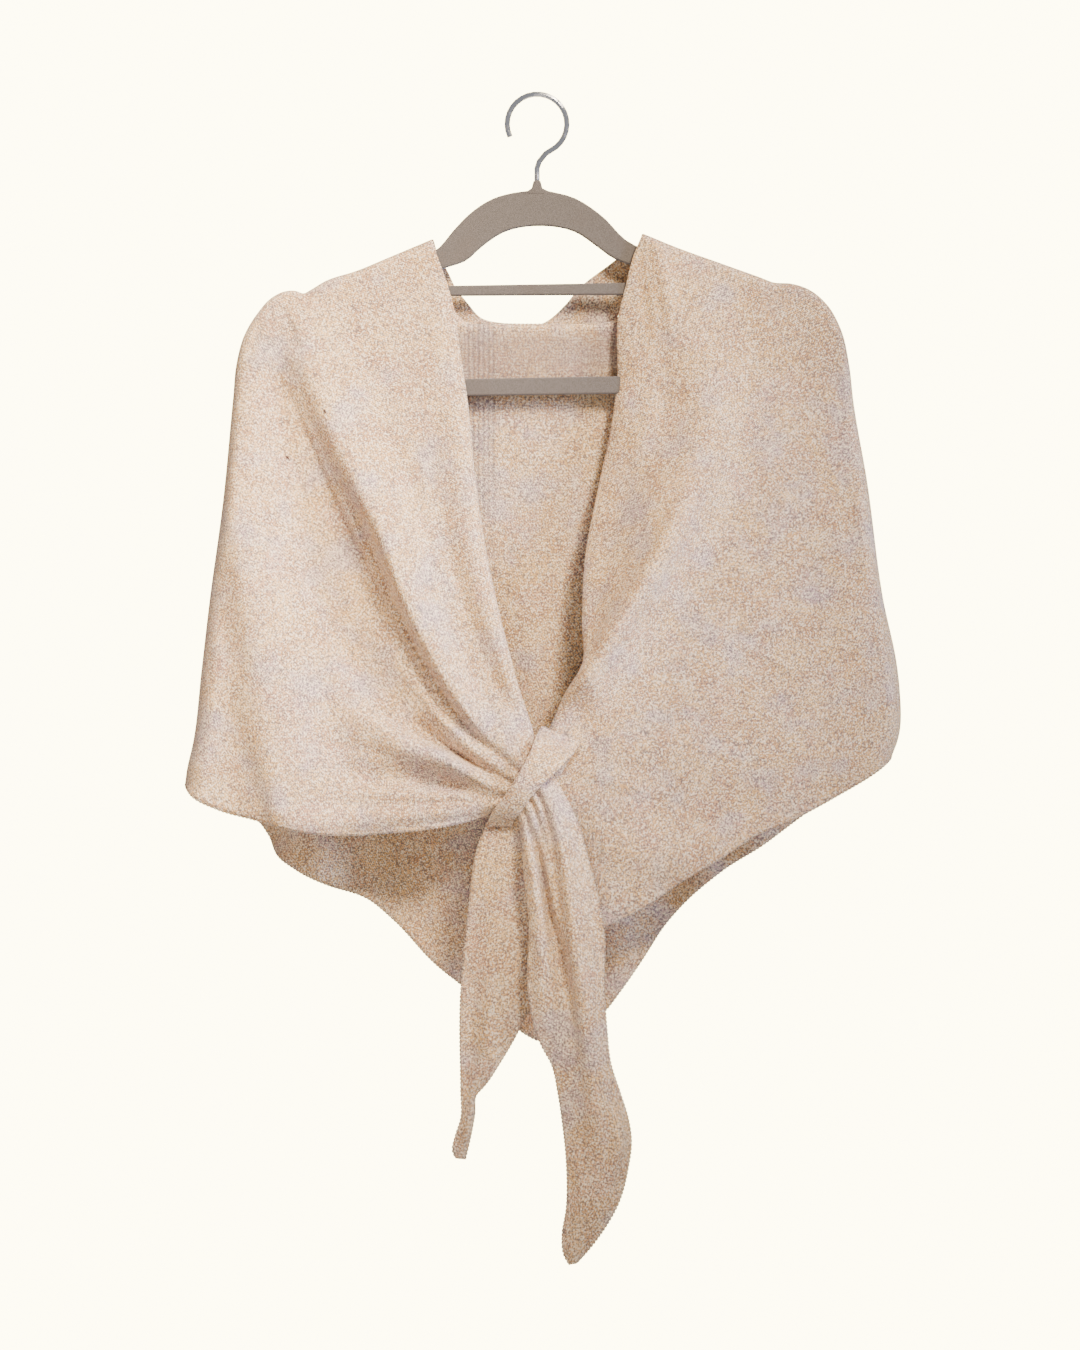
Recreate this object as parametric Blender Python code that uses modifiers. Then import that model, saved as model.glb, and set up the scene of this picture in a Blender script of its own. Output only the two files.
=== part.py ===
"""Knitted wool wrap on a hanger: a triangle of knit, pulled through its own loop.

The long edge of the triangle is the neck edge. It lies over a flat hanger, with the top
of the back folded over as a collar. The left front is gathered through a short loop that
is sewn to the right front, and both fronts end in a hanging tail.

The tables are in millimetres, seen from the front: x to the right from midway between
the shoulders, z up from where the hook hangs, and depth from the hanger's middle plane.
"""
import math

import bmesh
import bpy
import numpy as np

MM = 0.001

# ---- driving dimensions -------------------------------------------------------------
CLOTH = 2.2              # thickness of the knit
HALF_SEAM = 0.25         # half of the gap where two stretches of cloth meet
HOOK_LINE = -4.0         # x of the hook, a little left of the middle of the shoulders
HANGER_THICK = 6.0
HANGER_EDGE = 1.5        # rounding of the hanger's edges
ARM_SEAT = 2.0           # from the middle of the cloth down to the arm that carries it
ARM_FROM = 0.10          # share of the side line where the cloth starts to rest on the arm
ARM_TO = 0.33            # and where it hangs clear of its tip
WIRE_RADIUS = 2.0
HOOK_RADIUS = 22.0       # of the wire's centre line
HOOK_TIP = 205.0         # degrees round from the right-hand side
HOOK_FOOT = -50.0
BOSS_TOP = -61.8
HOOK_STEM = [(0.0, 0.3), (0.0, 9.0), (1.6, 14.0), (6.4, 20.0)]     # x, height above the boss
TIE_SHEET = 26.0         # depth of the right front where the loop is sewn to it
TIE_FLAT = 17.0          # how far round the loop it lies at that depth
TIE_FADE = 48.0          # and how far out it still bends to it
BACK_ROLL = 2.6          # radius of the roll along the top of the back
ROLL_SHARE = 0.05        # share of the back's stations that the roll takes
ROLL_TURN = 2.9          # how far it turns over, in radians
COLLAR_ENDS = 0.07       # share of the neck line left free at each end
COLLAR_NARROW = 14.0     # drop of the folded collar at the shoulders
COLLAR_DEEP = 50.0       # and at the middle of the back
COLLAR_WAVE = 1.5        # it waves this much to and fro
COLLAR_FLARE = 2.0       # and its lower edge stands this much further out
LEFT_PULLED = 6.0        # how far the loop draws the left front out
LEFT_TAIL_CROWN = 4.0    # how far the middle of each tail stands out
RIGHT_TAIL_CROWN = 3.0
LEFT_TAIL_END = 20.0     # depth of the left tail's tip
LINE_STEP = 0.004        # share of a line over which its heading is read
FOLD_STEPS = 80          # points read along a fold line

# ---- where one shape gives way to the next, as shares of a panel's length -------------
LEFT_DRAWN = (0.45, 0.85)      # of the left front, from its side fold to the loop
LEFT_GATHERED = (0.80, 0.95)
RIGHT_SEWN = (0.85, 0.98)      # of the right front, likewise
TAIL_UNGATHERED = (0.04, 0.16)  # of the right tail, from the loop to its tip
LEFT_TAIL_SWELLS = (0.0, 0.3)  # of the left tail, likewise
ROLL_GROWS = (0.0, 0.15)       # of the top of the back, from a shoulder to the middle

# ---- how deep the wrap hangs, at each height ----------------------------------------
#            z,    front, back, side turn
SECTIONS = [(-100,   6.0,  6.0,  5.0),
            (-150,   7.5,  8.5,  5.0),
            (-200,  10.0, 12.0,  6.0),
            (-300,  18.0, 18.0,  9.0),
            (-400,  26.0, 24.0, 13.0),
            (-500,  32.0, 28.0, 16.0),
            (-600,  31.0, 25.0, 16.0),
            (-700,  28.0, 18.0, 14.0),
            (-860,  24.0, 14.0, 12.0)]

# ---- outlines, from the front: (x, z) -----------------------------------------------
LEFT_SIDE = [(-81, -106), (-112, -119), (-136, -129), (-160, -137), (-170, -143),
             (-176, -146), (-182, -144), (-190, -144.5), (-199, -149), (-209, -160),
             (-219, -177), (-224, -195), (-227, -224), (-234, -297), (-244, -371),
             (-250, -423), (-256, -475), (-261, -498), (-262, -506)]
RIGHT_SIDE = [(74, -102), (96, -111), (132, -124), (160, -134), (171, -138), (182, -138.5),
              (196, -143), (209, -154), (219, -172), (225, -198), (228, -224),
              (238, -283), (250, -371), (260, -419), (262, -437), (261, -472), (256, -486)]
LEFT_NECK = [(-81, -106), (-68, -150), (-62, -190), (-57, -224), (-52, -275), (-42, -342),
             (-29, -400), (-16, -447), (-7, -471), (0, -488)]
LEFT_HEM = [(-262, -506), (-256, -513), (-237, -523), (-208, -531), (-177, -539),
            (-145, -542), (-110, -540), (-75, -536), (-46, -529), (-26, -520)]
RIGHT_NECK = [(74, -102), (67, -118), (62, -140), (57, -165), (57, -205), (52, -246),
              (44, -283), (33, -342), (31, -386), (31, -418), (18, -441), (6, -468),
              (-3, -484), (-15, -505), (-29, -524), (-41, -534)]
RIGHT_HEM = [(256, -486), (243, -496), (215, -513), (177, -533), (155, -542), (132, -557),
             (99, -577), (71, -596), (43, -610), (16, -632)]
RIGHT_SPLIT = [(-41, -534), (-15, -546), (4, -584), (16, -632)]
BACK_TOP = [(-81, -106), (-75, -132), (-70, -155), (-58, -168.5), (-36, -169.5), (0, -170),
            (32, -169.5), (56, -166), (67, -152), (72, -128), (74, -102)]
BACK_NECK = [(-81, -106), (-69, -127), (-63, -139), (-55, -149), (-45, -160), (-28, -164),
             (0, -164), (16, -151), (26, -139), (49, -121), (74, -102)]
BACK_HEM = [(-262, -506), (-239, -524), (-212, -535), (-205, -545), (-198, -559),
            (-183, -570), (-160, -581), (-128, -593), (-112, -607), (-82, -638),
            (-58, -657), (-26, -682), (-2, -696), (8, -698), (26, -690), (46, -675),
            (57, -661), (74, -637), (93, -610), (113, -588), (135, -570), (164, -551),
            (181, -539), (209, -519), (236, -503), (256, -486)]
LEFT_TAIL_OUTER = [(-41, -534), (-48, -558), (-53, -595), (-57, -633), (-59, -659),
                   (-59, -730), (-59, -750), (-63, -763), (-65, -774), (-63, -779)]
LEFT_TAIL_INNER = [(16, -632), (4, -650), (-9, -668), (-22, -693), (-31, -708),
                   (-43, -726), (-49, -733), (-50, -746), (-53, -763), (-57, -780)]
RIGHT_TAIL_OUTER = [(0, -488), (9, -502), (18, -518), (26, -536), (33, -562), (40, -589),
                    (44, -613), (44, -651), (46, -682), (49, -708), (56, -730),
                    (62, -750), (64, -765), (62, -783), (55, -810), (46, -827),
                    (33, -845), (25, -854)]
RIGHT_TAIL_INNER = [(-26, -520), (-17.5, -531), (-14.5, -547), (-13, -567), (-9, -606),
                    (-10, -651), (-8, -668), (0, -695), (7, -708), (12, -730),
                    (15, -750), (18, -779), (18, -815), (15, -835), (16, -848),
                    (20, -856)]

# ---- folds of each panel ------------------------------------------------------------
# Each row: the fold's crest line, its height (below zero for a hollow) at the start, the
# middle and the end, and how far it reaches on its upper side and on its lower side.
LEFT_FOLDS = [
    ([(-212, -200), (-222, -300), (-210, -390), (-192, -470), (-182, -534)],
     (2, 8, 9), (22, 42, 55), (14, 24, 40)),                    # crest beside the side fold
    ([(-196, -212), (-168, -290), (-146, -360), (-122, -420), (-84, -468)],
     (-3, -13, -5), (26, 44, 14), (26, 46, 26)),                # wide hollow
    ([(-174, -192), (-144, -268), (-119, -319), (-99, -371), (-77, -417), (-52, -456),
      (-29, -481), (-14, -494)],
     (4, 15, 7), (44, 36, 10), (24, 15, 6)),                    # main ridge
    ([(-66, -200), (-56, -300), (-40, -380), (-20, -440)],
     (1, 5, 4), (16, 18, 10), (30, 24, 10)),                    # lip of the neck edge
    ([(-84, -450), (-53, -478), (-20, -502)], (0, 5, 5), (6, 5, 4), (9, 6, 4)),
    ([(-92, -461), (-54, -488), (-20, -506)], (-3, -8, -6), (8, 6, 4), (9, 6, 4)),
    ([(-135, -460), (-93, -479), (-65, -491), (-24, -510)], (3, 9, 6), (16, 9, 5), (24, 12, 5)),
    ([(-140, -499), (-93, -502), (-50, -509), (-24, -517)], (-4, -8, -4), (18, 12, 5), (16, 11, 5)),
    ([(-190, -530), (-130, -531), (-75, -525), (-30, -521)], (2, 4, 3), (14, 11, 5), (14, 12, 6))]
RIGHT_FOLDS = [
    ([(92, -118), (112, -180), (120, -240), (93, -312), (59, -386), (34, -430), (12, -468),
      (-4, -486)],
     (1, 14, 4), (36, 38, 11), (42, 46, 13)),                   # main ridge, shoulder to loop
    ([(128, -246), (93, -312), (59, -386), (32, -430), (10, -470)],
     (0.5, 5, 2), (12, 14, 6), (16, 22, 8)),                    # its sharper crest
    ([(60, -150), (55, -210), (44, -285), (34, -345), (31, -400)],
     (-1, -12, -3), (20, 26, 12), (24, 34, 18)),                # neck edge falls inwards
    ([(80, -104), (86, -135), (92, -190)], (3, 4, 0), (12, 14, 16), (12, 16, 20)),
    ([(225, -240), (232, -330), (236, -420)], (0, 3, 2), (30, 40, 40), (20, 22, 24)),
    ([(60, -500), (110, -520), (170, -500)], (-2, -5, 0), (26, 40, 40), (26, 36, 40)),
    ([(40, -545), (100, -560), (160, -534)], (1, 4, 1), (20, 26, 30), (20, 26, 20))]
BACK_FOLDS = [
    ([(-200, -330), (-206, -440), (-203, -548)], (0, 6, 14), (26, 26, 20), (30, 36, 30)),
    ([(-150, -250), (-158, -400), (-165, -570)], (0, -8, -12), (40, 34, 30), (40, 38, 34)),
    ([(-70, -230), (-86, -420), (-98, -615)], (0, 9, 10), (36, 44, 44), (36, 40, 40)),
    ([(-6, -300), (-4, -480), (0, -690)], (0, -9, -10), (44, 48, 40), (44, 48, 40)),
    ([(60, -240), (78, -420), (88, -610)], (0, 10, 11), (36, 42, 40), (36, 46, 40)),
    ([(140, -260), (150, -400), (160, -550)], (0, -8, -10), (36, 40, 34), (36, 40, 34)),
    ([(190, -320), (205, -420), (214, -510)], (0, 7, 9), (28, 30, 28), (26, 26, 24))]
LEFT_TAIL_FOLDS = [
    ([(-30, -560), (-34, -640), (-36, -720)], (1.5, 3.6, 1.8), (14, 20, 12), (16, 26, 14)),
    ([(-46, -640), (-52, -700), (-55, -760)], (0, -1.8, 1.2), (8, 10, 8), (8, 10, 8))]
RIGHT_TAIL_FOLDS = [
    ([(-13, -522), (-5, -545), (1, -572), (6, -600), (14, -628), (22, -664)],
     (-5, -8, -1), (4, 5, 12), (5, 7, 12)),                     # slit between the rolls
    ([(4, -512), (14, -550), (21, -600), (27, -650), (34, -705), (42, -760), (40, -815)],
     (5, 8, 2), (14, 22, 20), (7, 11, 18)),                     # wide roll
    ([(-16, -530), (-9, -560), (-4, -600), (-1, -640), (2, -680)],
     (3, 4, 1), (5, 8, 12), (5, 8, 10)),
    ([(54, -745), (56, -768), (50, -790)], (3, 5, 2), (7, 8, 8), (8, 9, 9))]

# ---- the gathers under the loop -----------------------------------------------------
#              share across, depth
TIE_PLEATS = [(0.00, 34.0), (0.08, 38.0), (0.20, 43.0), (0.33, 45.0), (0.43, 41.5),
              (0.51, 44.5), (0.60, 40.5), (0.71, 44.5), (0.82, 40.0), (0.91, 40.0),
              (1.00, 33.5)]
#               z,  depth of the right tail
TAIL_DEPTHS = [(-480, 40.0), (-540, 42.0), (-620, 42.0), (-700, 38.0), (-780, 32.0), (-860, 26.0)]
#            upper-left edge,  lower-right edge,  depth
LOOP_ROWS = [((-1, -464), (27, -475), 28.6),
             ((-3, -467), (25, -479), 30.5),
             ((-5, -472), (20, -485), 41.0),
             ((-10, -485), (10, -495), 49.5),
             ((-17, -498), (0, -504), 51.5),
             ((-23, -508), (-8, -512.5), 51.0),
             ((-29, -517), (-13, -519.5), 48.5),
             ((-35, -525), (-17, -526.5), 44.0),
             ((-38, -531.5), (-20.5, -532), 33.0),
             ((-39, -534.5), (-21.5, -534.5), 29.0),
             ((-39.5, -537.5), (-21.5, -537.5), 28.6)]
LOOP_CROWN = 2.0         # the loop's middle stands this much above its edges

# ---- the hanger: (x, z) -------------------------------------------------------------
ARCH_TOP = [(-84, -117), (-77, -112), (-65, -98), (-52, -85), (-36, -75), (-22, -71),
            (-11, -69.5)]
BOSS = [(-8, -67.5), (-6.5, BOSS_TOP), (-1.5, BOSS_TOP), (0, -67.5)]
ARCH_TOP_RIGHT = [(4, -69.5), (22, -74), (44, -88), (62, -106), (80, -115)]
LEFT_TIP = [(-222.5, -203), (-217, -216), (-205, -222.5)]
RIGHT_TIP = [(205, -216.5), (217, -211), (223, -200)]
UPPER_WINDOW = [(-108, -140), (-86, -131), (-70, -125.5), (-56, -120.5), (-46, -111.5),
                (-28, -99.5), (-2, -95), (24, -99.5), (40.5, -110.5), (51.5, -118.5),
                (66, -124), (82, -129), (104, -136.5)]
LOWER_WINDOW = [(-132, -147), (128, -145.5), (160, -152), (184, -159), (198, -171),
                (207, -187), (208, -196), (200, -203.5), (-200, -210.5), (-208, -203),
                (-208, -192), (-203, -178), (-191, -166), (-160, -155)]

# ---- stations of the cloth's meshes -------------------------------------------------
FROM_SIDE = [0, 0.0008, 0.004, 0.013, 0.03, 0.06, 0.11, 0.18, 0.26, 0.34, 0.43, 0.52, 0.60,
             0.68, 0.75, 0.81, 0.86, 0.90, 0.93, 0.955, 0.978, 0.9985]
DOWN_SIDE = [0, 0.04, 0.08, 0.12, 0.155, 0.18, 0.195, 0.21, 0.225, 0.245, 0.27, 0.30, 0.335,
             0.37, 0.405, 0.44, 0.475, 0.51, 0.545, 0.58, 0.615, 0.65, 0.685, 0.72, 0.755,
             0.79, 0.825, 0.86, 0.90, 0.95, 1]
SIDE_TO_SIDE = ([0, 0.0008, 0.004, 0.013, 0.03, 0.06, 0.10]
                + [0.14 + 0.04 * step for step in range(19)]
                + [0.90, 0.94, 0.97, 0.987, 0.996, 0.9992, 1])
ROLL_STATIONS = [0, 0.0125, 0.025, 0.0375]
TAIL_ALONG = [0.0028] + [step / 24 for step in range(1, 25)]    # starts a seam's gap in
TAIL_ACROSS = [step / 14 for step in range(15)]


# ---- lines and surfaces -------------------------------------------------------------
def through(at, knots, where):
    """Smooth values through knots given at rising places, read at where."""
    at = np.asarray(at, float)
    knots = np.asarray(knots, float)
    slope = np.gradient(knots, at, axis=0)
    where = np.clip(np.asarray(where, float), at[0], at[-1])
    span = np.clip(np.searchsorted(at, where, side="right") - 1, 0, len(at) - 2)
    width = at[span + 1] - at[span]
    share = (where - at[span]) / width
    if knots.ndim > 1:
        width, share = width[..., None], share[..., None]
    start = (2 * share**3 - 3 * share**2 + 1) * knots[span]
    start_slope = (share**3 - 2 * share**2 + share) * width * slope[span]
    end = (3 * share**2 - 2 * share**3) * knots[span + 1]
    end_slope = (share**3 - share**2) * width * slope[span + 1]
    return start + start_slope + end + end_slope


def line_through(points):
    """A smooth line through the points, as a function of the share of its length."""
    knots = np.array(points, float)
    chords = np.linalg.norm(np.diff(knots, axis=0), axis=1)
    at = np.concatenate(([0.0], np.cumsum(chords))) / chords.sum()
    return lambda share: through(at, knots, share)


def column(rows, index, z):
    """One column of a table whose first column is the height, read at z."""
    table = np.array(sorted(rows), float)
    return through(table[:, 0], table[:, index], z)


def ease(share):
    share = np.clip(share, 0.0, 1.0)
    return share * share * (3.0 - 2.0 * share)


def ramp(share, start_and_end):
    """0 before the start to 1 past the end."""
    start, end = start_and_end
    return ease((share - start) / (end - start))


def mix(first, second, share):
    return first + (second - first) * share


def nearest(line, plan):
    """How far each plan point is from a line, where along it, and on which side."""
    points = line(np.linspace(0.0, 1.0, FOLD_STEPS))
    heading = np.gradient(points, axis=0)
    offset = plan[..., None, :] - points
    square = (offset**2).sum(-1)
    closest = square.argmin(-1)
    away = np.take_along_axis(offset, closest[..., None, None], axis=-2)[..., 0, :]
    way = heading[closest] / np.linalg.norm(heading[closest], axis=-1)[..., None]
    side = way[..., 0] * away[..., 1] - way[..., 1] * away[..., 0]
    ahead = (way * away).sum(-1)
    past_end = ((closest == 0) & (ahead < 0)) | ((closest == FOLD_STEPS - 1) & (ahead > 0))
    distance = np.where(past_end, np.sqrt(square.min(-1)), np.abs(side))
    return distance, closest / (FOLD_STEPS - 1), side


def relief(folds, plan, upper_is_left):
    """What the fold lines add to the depth of each plan point."""
    total = np.zeros(plan.shape[:-1])
    thirds = (0.0, 0.5, 1.0)
    for crest, height, reach_upper, reach_lower in folds:
        distance, along, side = nearest(line_through(crest), plan)
        on_upper = side > 0 if upper_is_left else side < 0
        reach = np.where(on_upper, np.interp(along, thirds, reach_upper),
                         np.interp(along, thirds, reach_lower))
        share = np.clip(distance / reach, 0.0, 1.0)
        total += np.interp(along, thirds, height) * (0.5 + 0.5 * np.cos(math.pi * share))
    return total


def turned(side, plan, radius, down=None):
    """0 at the side fold to 1 past its round turn, as a quarter of an ellipse."""
    line = line_through(side)
    distance = nearest(line, plan)[0]
    if down is not None:
        distance = np.minimum(distance, np.linalg.norm(plan - line(down), axis=-1))
    share = np.clip(distance / radius, 0.0, 1.0)
    return np.sqrt(1.0 - (1.0 - share)**2)


def between(first_edge, second_edge, first_side, second_side):
    """Plan of a panel: u runs along its two edges, v from the first edge to the second."""
    edges = line_through(first_edge), line_through(second_edge)
    sides = line_through(first_side), line_through(second_side)

    def plan(u, v):
        across, down = u[..., None], v[..., None]
        by_edges = mix(edges[0](u), edges[1](u), down)
        by_sides = mix(sides[0](v), sides[1](v), across)
        by_corners = mix(mix(edges[0](0.0), edges[0](1.0), across),
                         mix(edges[1](0.0), edges[1](1.0), across), down)
        return by_edges + by_sides - by_corners
    return plan


# ---- the depth of each stretch of cloth ---------------------------------------------
def tie_section(across):
    table = np.array(TIE_PLEATS)
    return through(table[:, 0], table[:, 1], across)


def front_left(u, v):
    plan = between(LEFT_NECK, LEFT_HEM, LEFT_SIDE, [LEFT_NECK[-1], LEFT_HEM[-1]])(u, v)
    z = plan[..., 1]
    turn = turned(LEFT_SIDE, plan, column(SECTIONS, 3, z), v)
    hang = column(SECTIONS, 1, z) * turn + relief(LEFT_FOLDS, plan, True) * turn
    drawn = hang + LEFT_PULLED * ramp(u, LEFT_DRAWN)
    return plan, -(HALF_SEAM + mix(drawn, tie_section(v), ramp(u, LEFT_GATHERED)))


def front_right(u, v):
    plan = between(RIGHT_NECK, RIGHT_HEM, RIGHT_SIDE, RIGHT_SPLIT)(u, v)
    z = plan[..., 1]
    turn = turned(RIGHT_SIDE, plan, column(SECTIONS, 3, z), v)
    hang = (column(SECTIONS, 1, z) + relief(RIGHT_FOLDS, plan, False)) * turn
    under_loop = [mix(np.array(upper), np.array(lower), 0.5) for upper, lower, _ in LOOP_ROWS]
    away = nearest(line_through(under_loop), plan)[0]
    flat = np.maximum(ramp(u, RIGHT_SEWN), 1.0 - ramp(away, (TIE_FLAT, TIE_FADE)))
    return plan, -(HALF_SEAM + mix(hang, TIE_SHEET, flat))


def back_depth(plan, down=None):
    z = plan[..., 1]
    radius = column(SECTIONS, 3, z)
    turn = turned(LEFT_SIDE, plan, radius, down) * turned(RIGHT_SIDE, plan, radius, down)
    return HALF_SEAM + (column(SECTIONS, 2, z) + relief(BACK_FOLDS, plan, True)) * turn


def inwards(line, along):
    """The way that points from a neck line into the neck opening."""
    heading = line(along + LINE_STEP) - line(along - LINE_STEP)
    heading /= np.linalg.norm(heading, axis=-1)[..., None]
    return np.stack([-heading[..., 1], heading[..., 0]], axis=-1)


def back(u, v):
    """The back, whose top edge turns over outwards in a small roll."""
    line = line_through(BACK_TOP)
    radius = BACK_ROLL * ramp(np.minimum(u, 1.0 - u), ROLL_GROWS)
    down = np.clip((v - ROLL_SHARE) / (1.0 - ROLL_SHARE), 0.0, 1.0)
    plan = between(BACK_TOP, BACK_HEM, LEFT_SIDE, RIGHT_SIDE)(u, down)
    flat_depth = back_depth(plan, down)
    over = ROLL_TURN * np.clip(1.0 - v / ROLL_SHARE, 0.0, 1.0)
    rise = inwards(line, u) * (radius * np.sin(over))[..., None]
    return plan + rise, flat_depth + radius * (1.0 - np.cos(over))


def back_collar(u, v):
    """The folded top of the back: it hangs behind the roll, from the neck edge line."""
    line = line_through(BACK_NECK)
    along = mix(COLLAR_ENDS, 1.0 - COLLAR_ENDS, u)
    drop = mix(COLLAR_NARROW, COLLAR_DEEP, np.sin(math.pi * along)**1.5)
    plan = line(along) - inwards(line, along) * (0.5 * CLOTH + drop * v)[..., None]
    roll = 2.0 * BACK_ROLL * ramp(np.minimum(along, 1.0 - along), ROLL_GROWS)
    behind_roll = back_depth(plan) + roll + CLOTH + 2.0 * HALF_SEAM
    wave = COLLAR_WAVE * np.sin(3.0 * math.pi * along) * v
    return plan, behind_roll + COLLAR_FLARE * v * v + wave


def tail_left(u, v):
    plan = between(LEFT_TAIL_OUTER, LEFT_TAIL_INNER, RIGHT_SPLIT,
                   [LEFT_TAIL_OUTER[-1], LEFT_TAIL_INNER[-1]])(u, v)
    crown = LEFT_TAIL_CROWN * np.sin(math.pi * v) * (1.0 - 0.5 * u)
    shape = (crown + relief(LEFT_TAIL_FOLDS, plan, False)) * ramp(u, LEFT_TAIL_SWELLS)
    return plan, -(HALF_SEAM + mix(TIE_SHEET, LEFT_TAIL_END, u) + shape)


def tail_right(u, v):
    plan = between(RIGHT_TAIL_OUTER, RIGHT_TAIL_INNER, [RIGHT_TAIL_OUTER[0], RIGHT_TAIL_INNER[0]],
                   [RIGHT_TAIL_OUTER[-1], RIGHT_TAIL_INNER[-1]])(u, v)
    level = column(TAIL_DEPTHS, 1, plan[..., 1]) + RIGHT_TAIL_CROWN * np.sin(math.pi * v)
    hang = level + relief(RIGHT_TAIL_FOLDS, plan, True)
    return plan, -(HALF_SEAM + mix(tie_section(v), hang, ramp(u, TAIL_UNGATHERED)))


def loop_strap(u, v):
    rows = np.linspace(0.0, 1.0, len(LOOP_ROWS))
    upper = through(rows, [row[0] for row in LOOP_ROWS], u)
    lower = through(rows, [row[1] for row in LOOP_ROWS], u)
    depth = through(rows, [row[2] for row in LOOP_ROWS], u)
    crown = LOOP_CROWN * np.sin(math.pi * v) * np.sin(math.pi * u)
    return mix(upper, lower, v[..., None]), -(depth + crown)


# ---- making objects -----------------------------------------------------------------
def material(name, colour, roughness, metallic=0.0):
    made = bpy.data.materials.new(name)
    made.use_nodes = True
    shader = made.node_tree.nodes["Principled BSDF"]
    shader.inputs["Base Color"].default_value = (*colour, 1.0)
    shader.inputs["Roughness"].default_value = roughness
    shader.inputs["Metallic"].default_value = metallic
    return made


def world(x, y, z):
    return ((x - HOOK_LINE) * MM, y * MM, z * MM)


def add_mesh(name, mesh, finish, parts):
    piece = bpy.data.objects.new(name, mesh)
    mesh.materials.append(finish)
    parts.objects.link(piece)
    return piece


def cloth(name, surface, along, across, finish, parts, faces_viewer=True):
    """One stretch of cloth: a grid laid on its surface, given the knit's thickness."""
    shape = bmesh.new()
    bmesh.ops.create_grid(shape, x_segments=len(along) - 1, y_segments=len(across) - 1, size=0.5)
    columns = np.rint([(vert.co.x + 0.5) * (len(along) - 1) for vert in shape.verts]).astype(int)
    rows = np.rint([(vert.co.y + 0.5) * (len(across) - 1) for vert in shape.verts]).astype(int)
    plan, depth = surface(np.array(along, float)[columns], np.array(across, float)[rows])
    for vert, (x, z), y in zip(shape.verts, plan, depth):
        vert.co = world(x, y, z)
    shape.normal_update()
    towards = sum(face.normal.y * face.calc_area() for face in shape.faces)
    if (towards > 0) == faces_viewer:
        bmesh.ops.reverse_faces(shape, faces=shape.faces)
    mesh = bpy.data.meshes.new(name)
    shape.to_mesh(mesh)
    shape.free()
    mesh.shade_smooth()
    piece = add_mesh(name, mesh, finish, parts)
    wall = piece.modifiers.new("knit thickness", "SOLIDIFY")
    wall.thickness = CLOTH * MM
    wall.offset = 0.0
    return piece


def seat_line(side, shares, towards):
    """The top of an arm: the cloth's own side line, moved in to where it rests."""
    line = line_through(side)
    points = []
    for share in shares:
        x, z = line(share)
        ahead = line(share + LINE_STEP) - line(share - LINE_STEP)
        ahead /= np.linalg.norm(ahead)
        points.append((x + towards * ahead[1] * ARM_SEAT, z - towards * ahead[0] * ARM_SEAT))
    return points


def curved(points, count):
    """That many points on a smooth line through the given ones."""
    return [tuple(place) for place in line_through(points)(np.linspace(0.0, 1.0, count))]


def flat_ring(curve, points):
    spline = curve.splines.new("POLY")
    spline.points.add(len(points) - 1)
    for point, (x, z) in zip(spline.points, points):
        point.co = ((x - HOOK_LINE) * MM, z * MM, 0.0, 1.0)
    spline.use_cyclic_u = True


def hanger(finish, parts):
    """One flat moulding: arch and boss, two arms, a thin upper bar and the lower bar."""
    seats = [share for share in DOWN_SIDE if ARM_FROM < share < ARM_TO]
    left = seat_line(LEFT_SIDE, seats, -1.0)
    right = seat_line(RIGHT_SIDE, seats, 1.0)
    outline = (LEFT_TIP[::-1] + left[::-1] + curved(ARCH_TOP, 18) + BOSS
               + curved(ARCH_TOP_RIGHT, 14) + right + RIGHT_TIP[::-1])
    curve = bpy.data.curves.new("hanger outline", "CURVE")
    curve.dimensions = "2D"
    curve.fill_mode = "BOTH"
    curve.extrude = 0.5 * HANGER_THICK * MM
    for ring in (outline, curved(UPPER_WINDOW, 40), LOWER_WINDOW):
        flat_ring(curve, ring)
    piece = bpy.data.objects.new("hanger", curve)
    piece.rotation_euler = (math.radians(90.0), 0.0, 0.0)
    curve.materials.append(finish)
    parts.objects.link(piece)
    weld = piece.modifiers.new("weld caps", "WELD")
    weld.merge_threshold = 0.00001
    edge = piece.modifiers.new("soft edges", "BEVEL")
    edge.width = HANGER_EDGE * MM
    edge.segments = 2
    edge.limit_method = "ANGLE"
    edge.angle_limit = math.radians(60.0)
    return piece


def hook(finish, parts):
    """A wire hook whose inside top is the origin, standing in the hanger's boss."""
    centre_z = WIRE_RADIUS - HOOK_RADIUS
    stem = [(x, BOSS_TOP + above) for x, above in HOOK_STEM]
    turns = np.radians(np.linspace(HOOK_FOOT, HOOK_TIP, 22))
    arc = [(HOOK_RADIUS * math.cos(turn), centre_z + HOOK_RADIUS * math.sin(turn))
           for turn in turns]
    curve = bpy.data.curves.new("hook wire", "CURVE")
    curve.dimensions = "3D"
    curve.bevel_depth = WIRE_RADIUS * MM
    curve.bevel_resolution = 2
    curve.use_fill_caps = True
    spline = curve.splines.new("POLY")
    spline.points.add(len(stem) + len(arc) - 1)
    for point, (x, z) in zip(spline.points, stem + arc):
        point.co = (x * MM, 0.0, z * MM, 1.0)
    piece = bpy.data.objects.new("hook", curve)
    curve.materials.append(finish)
    parts.objects.link(piece)
    return piece


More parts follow.
